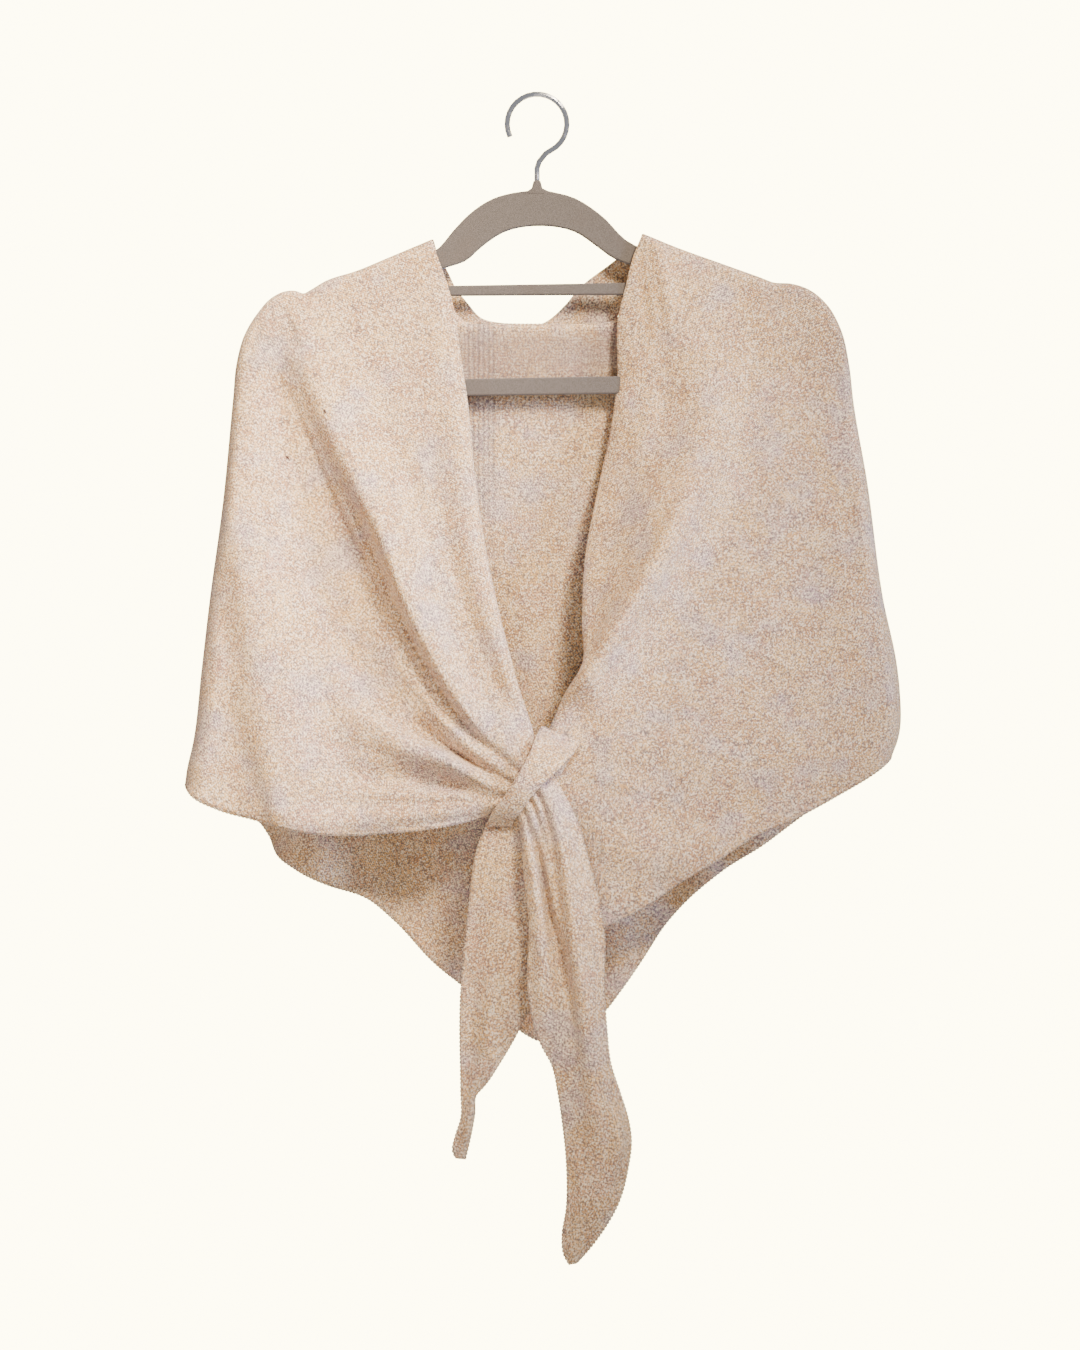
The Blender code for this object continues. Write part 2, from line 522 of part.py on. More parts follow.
def main():
    for item in list(bpy.data.objects):
        bpy.data.objects.remove(item, do_unlink=True)
    parts = bpy.data.collections.new("knitted_wrap_on_hanger")
    bpy.context.scene.collection.children.link(parts)
    knit = material("wool_knit", (0.60, 0.47, 0.36), 0.9)
    flock = material("grey_flock", (0.28, 0.25, 0.23), 0.85)
    steel = material("hook_steel", (0.62, 0.62, 0.62), 0.3, 1.0)
    cloth("front_left", front_left, FROM_SIDE, DOWN_SIDE, knit, parts)
    cloth("front_right", front_right, FROM_SIDE, DOWN_SIDE, knit, parts)
    below_roll = [mix(ROLL_SHARE, 1.0, share) for share in DOWN_SIDE]
    cloth("back", back, SIDE_TO_SIDE, ROLL_STATIONS + below_roll, knit, parts,
          faces_viewer=False)
    cloth("back_collar", back_collar, [step / 22 for step in range(23)],
          [step / 5 for step in range(6)], knit, parts, faces_viewer=False)
    cloth("tail_left", tail_left, TAIL_ALONG, TAIL_ACROSS[::2], knit, parts)
    cloth("tail_right", tail_right, TAIL_ALONG, TAIL_ACROSS, knit, parts)
    cloth("loop_strap", loop_strap, [step / 18 for step in range(19)],
          [0, 0.25, 0.5, 0.75, 1], knit, parts)
    hanger(flock, parts)
    hook(steel, parts)


main()
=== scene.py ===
"""The looks of a knitted wool wrap on a flat flocked hanger.

The wrap is one triangle of melange stockinette. Its left front is gathered through a short
loop sewn to its right front. Each stretch of cloth is made again here on the form of its
solid, finer and with its creases, and the edges get their rolls and chain stitches. Its
hanger and hook are the solids themselves, with their finishes.

The tables are in millimetres, seen from the front: x to the right from midway between the
shoulders, z up from the inside top of the hook, and depth from the hanger's middle plane.
Places in the materials and of the lamps are in metres, in the world.
"""

import math

import bpy
import numpy as np
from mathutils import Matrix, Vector


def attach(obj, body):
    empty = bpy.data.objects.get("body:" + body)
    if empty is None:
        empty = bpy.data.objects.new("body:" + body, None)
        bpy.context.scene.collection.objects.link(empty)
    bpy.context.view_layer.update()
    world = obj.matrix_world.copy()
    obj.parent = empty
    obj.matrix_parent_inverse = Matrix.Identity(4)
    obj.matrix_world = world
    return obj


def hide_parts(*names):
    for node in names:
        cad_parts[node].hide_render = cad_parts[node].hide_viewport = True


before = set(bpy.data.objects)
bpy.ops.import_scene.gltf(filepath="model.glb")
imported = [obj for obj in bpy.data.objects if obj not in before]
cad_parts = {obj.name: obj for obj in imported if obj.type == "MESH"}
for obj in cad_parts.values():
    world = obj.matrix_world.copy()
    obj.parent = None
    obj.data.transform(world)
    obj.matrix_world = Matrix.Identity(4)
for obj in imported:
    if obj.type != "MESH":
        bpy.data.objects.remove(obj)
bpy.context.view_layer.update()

MM = 0.001

# ---- driving dimensions -------------------------------------------------------------
CLOTH = 2.2              # thickness of the knit
HALF_SEAM = 0.02         # half of the gap where two stretches of cloth meet
HOOK_LINE = -4.0         # x of the hook, a little left of the middle of the shoulders
TIE_SHEET = 26.0         # depth of the right front where the loop is sewn to it
TIE_FLAT = 17.0          # how far round the loop it lies at that depth
TIE_FADE = 48.0          # and how far out it still bends to it
BACK_ROLL = 2.6          # radius of the roll along the top of the back
ROLL_SHARE = 0.05        # share of the back's stations that the roll takes
ROLL_TURN = 2.9          # how far it turns over, in radians
COLLAR_ENDS = 0.07       # share of the neck line left free at each end
COLLAR_NARROW = 14.0     # drop of the folded collar at the shoulders
COLLAR_DEEP = 50.0       # and at the middle of the back
COLLAR_ROUND = 1.5       # power that rounds its drop between the two
COLLAR_WAVE = 1.5        # it waves this much to and fro
COLLAR_WAVES = 1.5       # and this many times from end to end
COLLAR_FLARE = 2.0       # and its lower edge stands this much further out
LEFT_PULLED = 6.0        # how far the loop draws the left front out
LEFT_TAIL_CROWN = 4.0    # how far the middle of the left tail stands out at the split
LEFT_TAIL_TIP_CROWN = 2.0    # and at its tip
RIGHT_TAIL_CROWN = 3.0   # how far the middle of the right tail stands out
LEFT_TAIL_END = 20.0     # depth of the left tail's tip
LINE_STEP = 0.004        # share of a line before and after a point, to read its heading
FOLD_STEPS = 80          # points read along a fold line
START_MIDDLE_END = (0.0, 0.5, 1.0)    # shares of a fold line where its row gives values
CREST_LIFT = 1.3         # how much higher the crests stand than in the plain solids
NECK_ROLL = 2.4          # radius of the roll along the fronts' neck edges
NECK_ROLL_SHARE = 0.03   # share of a front's rows that the roll takes
NECK_ROLL_TURN = 2.6     # how far it turns over, in radians

# ---- where one shape gives way to the next, as shares of a panel's length -------------
LEFT_DRAWN = (0.45, 0.85)      # of the left front, from its side fold to the loop
LEFT_GATHERED = (0.80, 0.95)
RIGHT_SEWN = (0.85, 0.98)      # of the right front, likewise
TAIL_UNGATHERED = (0.04, 0.16)  # of the right tail, from the loop to its tip
LEFT_TAIL_SWELLS = (0.0, 0.3)  # of the left tail, likewise
ROLL_GROWS = (0.0, 0.15)       # of the top of the back, from a shoulder to the middle
NECK_ROLL_GROWS = (0.02, 0.16)  # of a front's neck edge, from its shoulder
NECK_ROLL_ENDS = (0.90, 0.98)  # and towards the loop

# ---- how deep the wrap hangs, at each height ----------------------------------------
#            z,    front, back, side turn
SECTIONS = [(-100,   6.0,  6.0,  5.0),
            (-150,   7.5,  8.5,  5.0),
            (-200,  10.0, 12.0,  6.0),
            (-300,  18.0, 18.0,  9.0),
            (-400,  26.0, 24.0, 13.0),
            (-500,  32.0, 28.0, 16.0),
            (-600,  31.0, 25.0, 16.0),
            (-700,  28.0, 18.0, 14.0),
            (-860,  24.0, 14.0, 12.0)]

# ---- outlines, from the front: (x, z) -----------------------------------------------
LEFT_SIDE = [(-81, -106), (-112, -119), (-136, -129), (-160, -137), (-170, -143),
             (-176, -146), (-182, -144), (-190, -144.5), (-199, -149), (-209, -160),
             (-219, -177), (-224, -195), (-227, -224), (-234, -297), (-244, -371),
             (-250, -423), (-256, -475), (-261, -498), (-262, -506)]
RIGHT_SIDE = [(74, -102), (96, -111), (132, -124), (160, -134), (171, -138), (182, -138.5),
              (196, -143), (209, -154), (219, -172), (225, -198), (228, -224),
              (238, -283), (250, -371), (260, -419), (262, -437), (261, -472), (256, -486)]
LEFT_NECK = [(-81, -106), (-68, -150), (-62, -190), (-57, -224), (-52, -275), (-42, -342),
             (-29, -400), (-16, -447), (-7, -471), (0, -488)]
LEFT_HEM = [(-262, -506), (-256, -513), (-237, -523), (-208, -531), (-177, -539),
            (-145, -542), (-110, -540), (-75, -536), (-46, -529), (-26, -520)]
RIGHT_NECK = [(74, -102), (67, -118), (62, -140), (57, -165), (57, -205), (52, -246),
              (44, -283), (33, -342), (31, -386), (31, -418), (18, -441), (6, -468),
              (-3, -484), (-15, -505), (-29, -524), (-41, -534)]
RIGHT_HEM = [(256, -486), (243, -496), (215, -513), (177, -533), (155, -542), (132, -557),
             (99, -577), (71, -596), (43, -610), (16, -632)]
RIGHT_SPLIT = [(-41, -534), (-15, -546), (4, -584), (16, -632)]
BACK_TOP = [(-81, -106), (-75, -132), (-70, -155), (-58, -168.5), (-36, -169.5), (0, -170),
            (32, -169.5), (56, -166), (67, -152), (72, -128), (74, -102)]
BACK_NECK = [(-81, -106), (-69, -127), (-63, -139), (-55, -149), (-45, -160), (-28, -164),
             (0, -164), (16, -151), (26, -139), (49, -121), (74, -102)]
BACK_HEM = [(-262, -506), (-239, -524), (-212, -535), (-205, -545), (-198, -559),
            (-183, -570), (-160, -581), (-128, -593), (-112, -607), (-82, -638),
            (-58, -657), (-26, -682), (-2, -696), (8, -698), (26, -690), (46, -675),
            (57, -661), (74, -637), (93, -610), (113, -588), (135, -570), (164, -551),
            (181, -539), (209, -519), (236, -503), (256, -486)]
LEFT_TAIL_OUTER = [(-41, -534), (-48, -558), (-53, -595), (-57, -633), (-59, -659),
                   (-59, -730), (-59, -750), (-63, -763), (-65, -774), (-63, -779)]
LEFT_TAIL_INNER = [(16, -632), (4, -650), (-9, -668), (-22, -693), (-31, -708),
                   (-43, -726), (-49, -733), (-50, -746), (-53, -763), (-57, -780)]
RIGHT_TAIL_OUTER = [(0, -488), (9, -502), (18, -518), (26, -536), (33, -562), (40, -589),
                    (44, -613), (44, -651), (46, -682), (49, -708), (56, -730),
                    (62, -750), (64, -765), (62, -783), (55, -810), (46, -827),
                    (33, -845), (25, -854)]
RIGHT_TAIL_INNER = [(-26, -520), (-17.5, -531), (-14.5, -547), (-13, -567), (-9, -606),
                    (-10, -651), (-8, -668), (0, -695), (7, -708), (12, -730),
                    (15, -750), (18, -779), (18, -815), (15, -835), (16, -848),
                    (20, -856)]

# ---- folds of each panel ------------------------------------------------------------
# Each row: the fold's crest line, its height (below zero for a hollow) at the start, the
# middle and the end, and how far it reaches on its upper side and on its lower side.
LEFT_FOLDS = [
    ([(-212, -200), (-222, -300), (-210, -390), (-192, -470), (-182, -534)],
     (2, 8, 9), (22, 42, 55), (14, 24, 40)),                    # crest beside the side fold
    ([(-196, -212), (-168, -290), (-146, -360), (-122, -420), (-84, -468)],
     (-3, -13, -5), (26, 44, 14), (26, 46, 26)),                # wide hollow
    ([(-174, -192), (-144, -268), (-119, -319), (-99, -371), (-77, -417), (-52, -456),
      (-29, -481), (-14, -494)],
     (4, 15, 7), (44, 36, 10), (19, 11, 5)),                    # main ridge
    ([(-66, -200), (-56, -300), (-40, -380), (-20, -440)],
     (1, 5, 4), (16, 18, 10), (30, 24, 10)),                    # lip of the neck edge
    ([(-84, -450), (-53, -478), (-20, -502)], (0, 5, 5), (6, 5, 4), (9, 6, 4)),
    ([(-92, -461), (-54, -488), (-20, -506)], (-3, -8, -6), (8, 6, 4), (9, 6, 4)),
    ([(-135, -460), (-93, -479), (-65, -491), (-24, -510)], (3, 9, 6), (16, 9, 5), (24, 12, 5)),
    ([(-140, -499), (-93, -502), (-50, -509), (-24, -517)], (-4, -8, -4), (18, 12, 5), (16, 11, 5)),
    ([(-190, -530), (-130, -531), (-75, -525), (-30, -521)], (2, 4, 3), (14, 11, 5), (14, 12, 6))]
RIGHT_FOLDS = [
    ([(92, -118), (112, -180), (120, -240), (93, -312), (59, -386), (34, -430), (12, -468),
      (-4, -486)],
     (1, 14, 4), (36, 38, 11), (42, 46, 13)),                   # main ridge, shoulder to loop
    ([(140, -250), (128, -272), (110, -296), (88, -336), (64, -376), (39, -415), (12, -456)],
     (0.5, 8, 3), (14, 17, 7), (12, 17, 8)),                    # its sharper crest
    ([(60, -150), (55, -210), (44, -285), (34, -345), (31, -400)],
     (-1, -12, -3), (20, 26, 12), (24, 34, 18)),                # neck edge falls inwards
    ([(80, -104), (86, -135), (92, -190)], (3, 4, 0), (12, 14, 16), (12, 16, 20)),
    ([(225, -240), (232, -330), (236, -420)], (0, 3, 2), (30, 40, 40), (20, 22, 24)),
    ([(60, -500), (110, -520), (170, -500)], (-2, -5, 0), (26, 40, 40), (26, 36, 40)),
    ([(40, -545), (100, -560), (160, -534)], (1, 4, 1), (20, 26, 30), (20, 26, 20))]
BACK_FOLDS = [
    ([(-200, -330), (-206, -440), (-203, -548)], (0, 6, 14), (26, 26, 20), (30, 36, 30)),
    ([(-150, -250), (-158, -400), (-165, -570)], (0, -8, -12), (40, 34, 30), (40, 38, 34)),
    ([(-70, -230), (-86, -420), (-98, -615)], (0, 9, 10), (36, 44, 44), (36, 40, 40)),
    ([(-6, -300), (-4, -480), (0, -690)], (0, -9, -10), (44, 48, 40), (44, 48, 40)),
    ([(60, -240), (78, -420), (88, -610)], (0, 10, 11), (36, 42, 40), (36, 46, 40)),
    ([(140, -260), (150, -400), (160, -550)], (0, -8, -10), (36, 40, 34), (36, 40, 34)),
    ([(190, -320), (205, -420), (214, -510)], (0, 7, 9), (28, 30, 28), (26, 26, 24))]
LEFT_TAIL_FOLDS = [
    ([(-30, -560), (-34, -640), (-36, -720)], (1.5, 3.6, 1.8), (14, 20, 12), (16, 26, 14)),
    ([(-46, -640), (-52, -700), (-55, -760)], (0, -1.8, 1.2), (8, 10, 8), (8, 10, 8))]
RIGHT_TAIL_FOLDS = [
    ([(-13, -522), (-5, -545), (1, -572), (6, -600), (14, -628), (22, -664)],
     (-5, -8, -1), (4, 5, 12), (5, 7, 12)),                     # slit between the rolls
    ([(4, -512), (14, -550), (21, -600), (27, -650), (34, -705), (42, -760), (40, -815)],
     (5, 8, 2), (14, 22, 20), (7, 11, 18)),                     # wide roll
    ([(-16, -530), (-9, -560), (-4, -600), (-1, -640), (2, -680)],
     (3, 4, 1), (5, 8, 12), (5, 8, 10)),
    ([(54, -745), (56, -768), (50, -790)], (3, 5, 2), (7, 8, 8), (8, 9, 9))]

# ---- the gathers under the loop -----------------------------------------------------
#              share across, depth
TIE_PLEATS = [(0.00, 34.0), (0.08, 38.0), (0.20, 43.0), (0.33, 45.0), (0.43, 41.5),
              (0.51, 44.5), (0.60, 40.5), (0.71, 44.5), (0.82, 40.0), (0.91, 40.0),
              (1.00, 33.5)]
#               z,  depth of the right tail
TAIL_DEPTHS = [(-480, 40.0), (-540, 42.0), (-620, 42.0), (-700, 38.0), (-780, 32.0), (-860, 26.0)]
#            upper-left edge,  lower-right edge,  depth
LOOP_ROWS = [((-1, -464), (27, -475), 28.6),
             ((-3, -467), (25, -479), 30.5),
             ((-5, -472), (20, -485), 41.0),
             ((-10, -485), (10, -495), 49.5),
             ((-17, -498), (0, -504), 51.5),
             ((-23, -508), (-8, -512.5), 50.5),
             ((-29, -517), (-13, -519.5), 47.0),
             ((-35, -524), (-17, -525.5), 42.0),
             ((-38, -529.5), (-20.5, -530), 36.0),
             ((-39, -532.5), (-21.5, -532.5), 32.0),
             ((-39.5, -535.5), (-21.5, -535.5), 29.6)]
LOOP_CROWN = 2.0         # the loop's middle stands this much above its edges

# ---- finer creases, in the rows of the fold tables ------------------------------------
LEFT_CREASES = [
    ([(-188, -214), (-168, -262), (-151, -300), (-126, -352), (-104, -398), (-80, -440)],
     (-2.0, -6.0, -4.0), (5, 5, 4), (20, 30, 16)),              # deepest close to the main ridge
    ([(-100, -424), (-74, -456), (-46, -478), (-18, -499)], (1.0, 2.6, 2.0), (5, 4, 3), (6, 5, 4)),
    ([(-150, -448), (-118, -462), (-84, -478), (-44, -496)], (0.5, 1.6, 1.0), (9, 7, 4), (9, 7, 5)),
    ([(-128, -512), (-92, -515), (-58, -515), (-30, -517)], (0.5, 1.8, 1.2), (6, 5, 3), (6, 5, 3)),
    ([(-240, -400), (-214, -452), (-196, -520)], (0.5, 1.8, 2.4), (16, 18, 16), (14, 18, 16)),
    ([(-226, -470), (-208, -500), (-202, -530)], (0.3, -1.6, -2.0), (8, 10, 9), (8, 10, 9)),
    ([(-150, -250), (-132, -318), (-106, -372)], (0.2, -1.2, 0.2), (12, 12, 10), (9, 9, 8)),
    ([(-90, -250), (-78, -330), (-58, -400)], (0.3, 1.4, 0.4), (12, 14, 10), (12, 12, 9))]
RIGHT_CREASES = [
    ([(80, -391), (116, -396), (150, -408), (177, -421), (204, -439), (248, -450)],
     (0.3, 0.9, 0.4), (2.5, 3.0, 3.0), (4, 5, 5)),              # fine press line
    ([(79, -112), (86, -150), (90, -190)], (-1.5, -2.2, -0.3), (5, 7, 9), (5, 7, 9)),
    ([(150, -190), (170, -262), (178, -352)], (0.3, 1.6, 0.4), (22, 26, 20), (22, 26, 20)),
    ([(118, -330), (150, -410), (196, -470)], (0.3, -1.6, -0.4), (18, 22, 16), (18, 22, 16)),
    ([(36, -476), (70, -470), (112, -452), (150, -424)], (0.6, -2.0, -0.3), (8, 14, 16), (8, 12, 14)),
    ([(26, -494), (62, -506), (104, -512)], (1.6, 1.8, 0.2), (6, 10, 14), (8, 12, 16)),
    ([(214, -250), (226, -330), (240, -410)], (0.2, -1.6, -0.4), (10, 12, 12), (10, 12, 12))]
LOOP_NOTCH = [    # in the right front, beside the loop's lower edge
    ([(25, -481), (19, -490), (12, -500)], (-1.5, -3.0, -1.0), (2.5, 3, 2.5), (3, 4, 3))]
BACK_CREASES = [
    ([(-180, -300), (-182, -410), (-186, -540)], (0.3, -1.8, -2.0), (12, 14, 12), (12, 14, 12)),
    ([(-118, -270), (-126, -420), (-134, -580)], (0.3, 2.0, 2.4), (14, 16, 14), (14, 18, 14)),
    ([(-48, -250), (-46, -430), (-52, -640)], (0.2, -1.6, -2.2), (14, 14, 12), (14, 14, 12)),
    ([(26, -260), (34, -440), (36, -650)], (0.2, 1.8, 2.2), (14, 16, 14), (14, 16, 14)),
    ([(112, -260), (124, -420), (128, -560)], (0.3, 1.8, 2.0), (14, 14, 12), (14, 14, 12)),
    ([(172, -300), (180, -400), (186, -520)], (0.2, -1.5, -1.8), (12, 12, 10), (12, 12, 10))]
LEFT_TAIL_CREASES = [
    ([(-20, -548), (-26, -610), (-34, -690)], (0.3, -1.4, -0.4), (6, 8, 6), (7, 9, 7)),
    ([(-4, -560), (-8, -600), (-20, -650)], (0.4, 1.4, 0.3), (6, 8, 6), (7, 9, 7))]
RIGHT_TAIL_CREASES = [
    ([(-3, -508), (2, -528), (9, -545)], (-3.0, -3.0, -0.5), (2.5, 2.5, 3), (3, 3, 4)),
    ([(7, -600), (14, -628), (22, -664), (26, -700), (29, -720)],
     (-1.5, -2.2, -0.5), (3, 4, 5), (5, 7, 7)),                 # left side of the wide roll
    ([(30, -640), (36, -690), (44, -735)], (0.3, 1.2, 0.2), (7, 8, 7), (7, 8, 7)),
    ([(24, -770), (28, -800), (24, -840)], (0.3, 1.4, 0.4), (8, 8, 6), (8, 8, 6))]

# ---- lines and surfaces -------------------------------------------------------------
def through(at, knots, where):
    """Smooth values through knots given at rising places, read at where."""
    at = np.asarray(at, float)
    knots = np.asarray(knots, float)
    slope = np.gradient(knots, at, axis=0)
    where = np.clip(np.asarray(where, float), at[0], at[-1])
    span = np.clip(np.searchsorted(at, where, side="right") - 1, 0, len(at) - 2)
    width = at[span + 1] - at[span]
    share = (where - at[span]) / width
    if knots.ndim > 1:
        width, share = width[..., None], share[..., None]
    start = (2 * share**3 - 3 * share**2 + 1) * knots[span]
    start_slope = (share**3 - 2 * share**2 + share) * width * slope[span]
    end = (3 * share**2 - 2 * share**3) * knots[span + 1]
    end_slope = (share**3 - share**2) * width * slope[span + 1]
    return start + start_slope + end + end_slope


def line_through(points):
    """A smooth line through the points, as a function of the share of its length."""
    knots = np.array(points, float)
    chords = np.linalg.norm(np.diff(knots, axis=0), axis=1)
    at = np.concatenate(([0.0], np.cumsum(chords))) / chords.sum()
    return lambda share: through(at, knots, share)


def column(rows, index, place):
    """One column of a table, read at a place in its first column."""
    table = np.array(sorted(rows), float)
    return through(table[:, 0], table[:, index], place)


def ramp(share, start_and_end):
    """0 before the start to 1 past the end, eased at both."""
    start, end = start_and_end
    share = np.clip((share - start) / (end - start), 0.0, 1.0)
    return share * share * (3.0 - 2.0 * share)


def mix(first, second, share):
    return first + (second - first) * share


def nearest(line, plan):
    """How far each plan point is from a line, where along it, and on which side."""
    points = line(np.linspace(0.0, 1.0, FOLD_STEPS))
    heading = np.gradient(points, axis=0)
    offset = plan[..., None, :] - points
    square = (offset**2).sum(-1)
    closest = square.argmin(-1)
    away = np.take_along_axis(offset, closest[..., None, None], axis=-2)[..., 0, :]
    way = heading[closest] / np.linalg.norm(heading[closest], axis=-1)[..., None]
    side = way[..., 0] * away[..., 1] - way[..., 1] * away[..., 0]
    ahead = (way * away).sum(-1)
    past_end = ((closest == 0) & (ahead < 0)) | ((closest == FOLD_STEPS - 1) & (ahead > 0))
    distance = np.where(past_end, np.sqrt(square.min(-1)), np.abs(side))
    return distance, closest / (FOLD_STEPS - 1), side


def relief(folds, plan, upper_is_left):
    """What the fold lines add to the depth of each plan point."""
    total = np.zeros(plan.shape[:-1])
    for crest, height, reach_upper, reach_lower in folds:
        distance, along, side = nearest(line_through(crest), plan)
        on_upper = side > 0 if upper_is_left else side < 0
        reach = np.where(on_upper, np.interp(along, START_MIDDLE_END, reach_upper),
                         np.interp(along, START_MIDDLE_END, reach_lower))
        share = np.clip(distance / reach, 0.0, 1.0)
        rise = np.interp(along, START_MIDDLE_END, height) * (0.5 + 0.5 * np.cos(math.pi * share))
        total += rise * np.where(rise > 0.0, CREST_LIFT, 1.0)
    return total


def turned(side, plan, radius, down=None):
    """0 at the side fold to 1 past its round turn, as a quarter of an ellipse.

    down, where it is given, is how far down the side each point's row meets it.
    """
    line = line_through(side)
    distance = nearest(line, plan)[0]
    if down is not None:
        distance = np.minimum(distance, np.linalg.norm(plan - line(down), axis=-1))
    share = np.clip(distance / radius, 0.0, 1.0)
    return np.sqrt(1.0 - (1.0 - share)**2)


def between(first_edge, second_edge, first_side, second_side):
    """Plan of a panel: u runs along its two edges, v from the first edge to the second."""
    edges = line_through(first_edge), line_through(second_edge)
    sides = line_through(first_side), line_through(second_side)

    def plan(u, v):
        across, down = u[..., None], v[..., None]
        by_edges = mix(edges[0](u), edges[1](u), down)
        by_sides = mix(sides[0](v), sides[1](v), across)
        by_corners = mix(mix(edges[0](0.0), edges[0](1.0), across),
                         mix(edges[1](0.0), edges[1](1.0), across), down)
        return by_edges + by_sides - by_corners
    return plan


# ---- the form of each stretch of cloth ------------------------------------------------
# Each takes u along a panel and v across it, from 0 to 1, and gives its plan and its depth,
# below zero towards the front.
def tie_section(across):
    """The depth of the gathers, across the loop."""
    return column(TIE_PLEATS, 1, across)


def inwards(line, along):
    """The way that points from a neck line into the neck opening, for a line to the right."""
    heading = line(along + LINE_STEP) - line(along - LINE_STEP)
    heading /= np.linalg.norm(heading, axis=-1)[..., None]
    return np.stack([-heading[..., 1], heading[..., 0]], axis=-1)


def rolled(neck, way, plan, depth, u, v):
    """A front whose neck edge turns back in a small roll; depth comes in as a distance."""
    radius = NECK_ROLL * ramp(u, NECK_ROLL_GROWS) * (1.0 - ramp(u, NECK_ROLL_ENDS))
    share = np.clip(1.0 - v / NECK_ROLL_SHARE, 0.0, 1.0)
    over = NECK_ROLL_TURN * share
    rise = way * inwards(line_through(neck), u) * (radius * np.sin(over))[..., None]
    return plan + rise, -(depth - radius * (1.0 - np.cos(over)))


def front_left(u, v):
    plan = between(LEFT_NECK, LEFT_HEM, LEFT_SIDE, [LEFT_NECK[-1], LEFT_HEM[-1]])(u, v)
    z = plan[..., 1]
    turn = turned(LEFT_SIDE, plan, column(SECTIONS, 3, z), v)
    hang = (column(SECTIONS, 1, z) + relief(LEFT_FOLDS + LEFT_CREASES, plan, True)) * turn
    drawn = hang + LEFT_PULLED * ramp(u, LEFT_DRAWN)
    depth = HALF_SEAM + mix(drawn, tie_section(v), ramp(u, LEFT_GATHERED))
    return rolled(LEFT_NECK, 1.0, plan, depth, u, v)


def front_right(u, v):
    plan = between(RIGHT_NECK, RIGHT_HEM, RIGHT_SIDE, RIGHT_SPLIT)(u, v)
    z = plan[..., 1]
    turn = turned(RIGHT_SIDE, plan, column(SECTIONS, 3, z), v)
    hang = (column(SECTIONS, 1, z) + relief(RIGHT_FOLDS + RIGHT_CREASES, plan, False)) * turn
    under_loop = [mix(np.array(upper), np.array(lower), 0.5) for upper, lower, _ in LOOP_ROWS]
    away = nearest(line_through(under_loop), plan)[0]
    flat = np.maximum(ramp(u, RIGHT_SEWN), 1.0 - ramp(away, (TIE_FLAT, TIE_FADE)))
    depth = HALF_SEAM + mix(hang, TIE_SHEET, flat) + relief(LOOP_NOTCH, plan, False)
    return rolled(RIGHT_NECK, -1.0, plan, depth, u, v)


def back_depth(plan, down=None):
    z = plan[..., 1]
    radius = column(SECTIONS, 3, z)
    turn = turned(LEFT_SIDE, plan, radius, down) * turned(RIGHT_SIDE, plan, radius, down)
    folds = relief(BACK_FOLDS + BACK_CREASES, plan, True)
    return HALF_SEAM + (column(SECTIONS, 2, z) + folds) * turn


def back(u, v):
    """The back, whose top edge turns over outwards in a small roll."""
    line = line_through(BACK_TOP)
    radius = BACK_ROLL * ramp(np.minimum(u, 1.0 - u), ROLL_GROWS)
    down = np.clip((v - ROLL_SHARE) / (1.0 - ROLL_SHARE), 0.0, 1.0)
    plan = between(BACK_TOP, BACK_HEM, LEFT_SIDE, RIGHT_SIDE)(u, down)
    flat_depth = back_depth(plan, down)
    over = ROLL_TURN * np.clip(1.0 - v / ROLL_SHARE, 0.0, 1.0)
    rise = inwards(line, u) * (radius * np.sin(over))[..., None]
    return plan + rise, flat_depth + radius * (1.0 - np.cos(over))


def back_collar(u, v):
    """The folded top of the back: it hangs behind the roll, from the neck edge line."""
    line = line_through(BACK_NECK)
    along = mix(COLLAR_ENDS, 1.0 - COLLAR_ENDS, u)
    drop = mix(COLLAR_NARROW, COLLAR_DEEP, np.sin(math.pi * along)**COLLAR_ROUND)
    plan = line(along) - inwards(line, along) * (0.5 * CLOTH + drop * v)[..., None]
    roll = 2.0 * BACK_ROLL * ramp(np.minimum(along, 1.0 - along), ROLL_GROWS)
    behind_roll = back_depth(plan) + roll + CLOTH + 2.0 * HALF_SEAM
    wave = COLLAR_WAVE * np.sin(2.0 * math.pi * COLLAR_WAVES * along) * v
    return plan, behind_roll + COLLAR_FLARE * v * v + wave


def tail_left(u, v):
    plan = between(LEFT_TAIL_OUTER, LEFT_TAIL_INNER, RIGHT_SPLIT,
                   [LEFT_TAIL_OUTER[-1], LEFT_TAIL_INNER[-1]])(u, v)
    crown = mix(LEFT_TAIL_CROWN, LEFT_TAIL_TIP_CROWN, u) * np.sin(math.pi * v)
    folds = relief(LEFT_TAIL_FOLDS + LEFT_TAIL_CREASES, plan, False)
    shape = (crown + folds) * ramp(u, LEFT_TAIL_SWELLS)
    return plan, -(HALF_SEAM + mix(TIE_SHEET, LEFT_TAIL_END, u) + shape)


def tail_right(u, v):
    plan = between(RIGHT_TAIL_OUTER, RIGHT_TAIL_INNER, [RIGHT_TAIL_OUTER[0], RIGHT_TAIL_INNER[0]],
                   [RIGHT_TAIL_OUTER[-1], RIGHT_TAIL_INNER[-1]])(u, v)
    level = column(TAIL_DEPTHS, 1, plan[..., 1]) + RIGHT_TAIL_CROWN * np.sin(math.pi * v)
    hang = level + relief(RIGHT_TAIL_FOLDS + RIGHT_TAIL_CREASES, plan, True)
    return plan, -(HALF_SEAM + mix(tie_section(v), hang, ramp(u, TAIL_UNGATHERED)))


def loop_strap(u, v):
    rows = np.linspace(0.0, 1.0, len(LOOP_ROWS))
    upper, lower, depth = [through(rows, values, u) for values in zip(*LOOP_ROWS)]
    crown = LOOP_CROWN * np.sqrt(np.sin(math.pi * v) * np.sin(math.pi * u))
    return mix(upper, lower, v[..., None]), -(depth + crown)


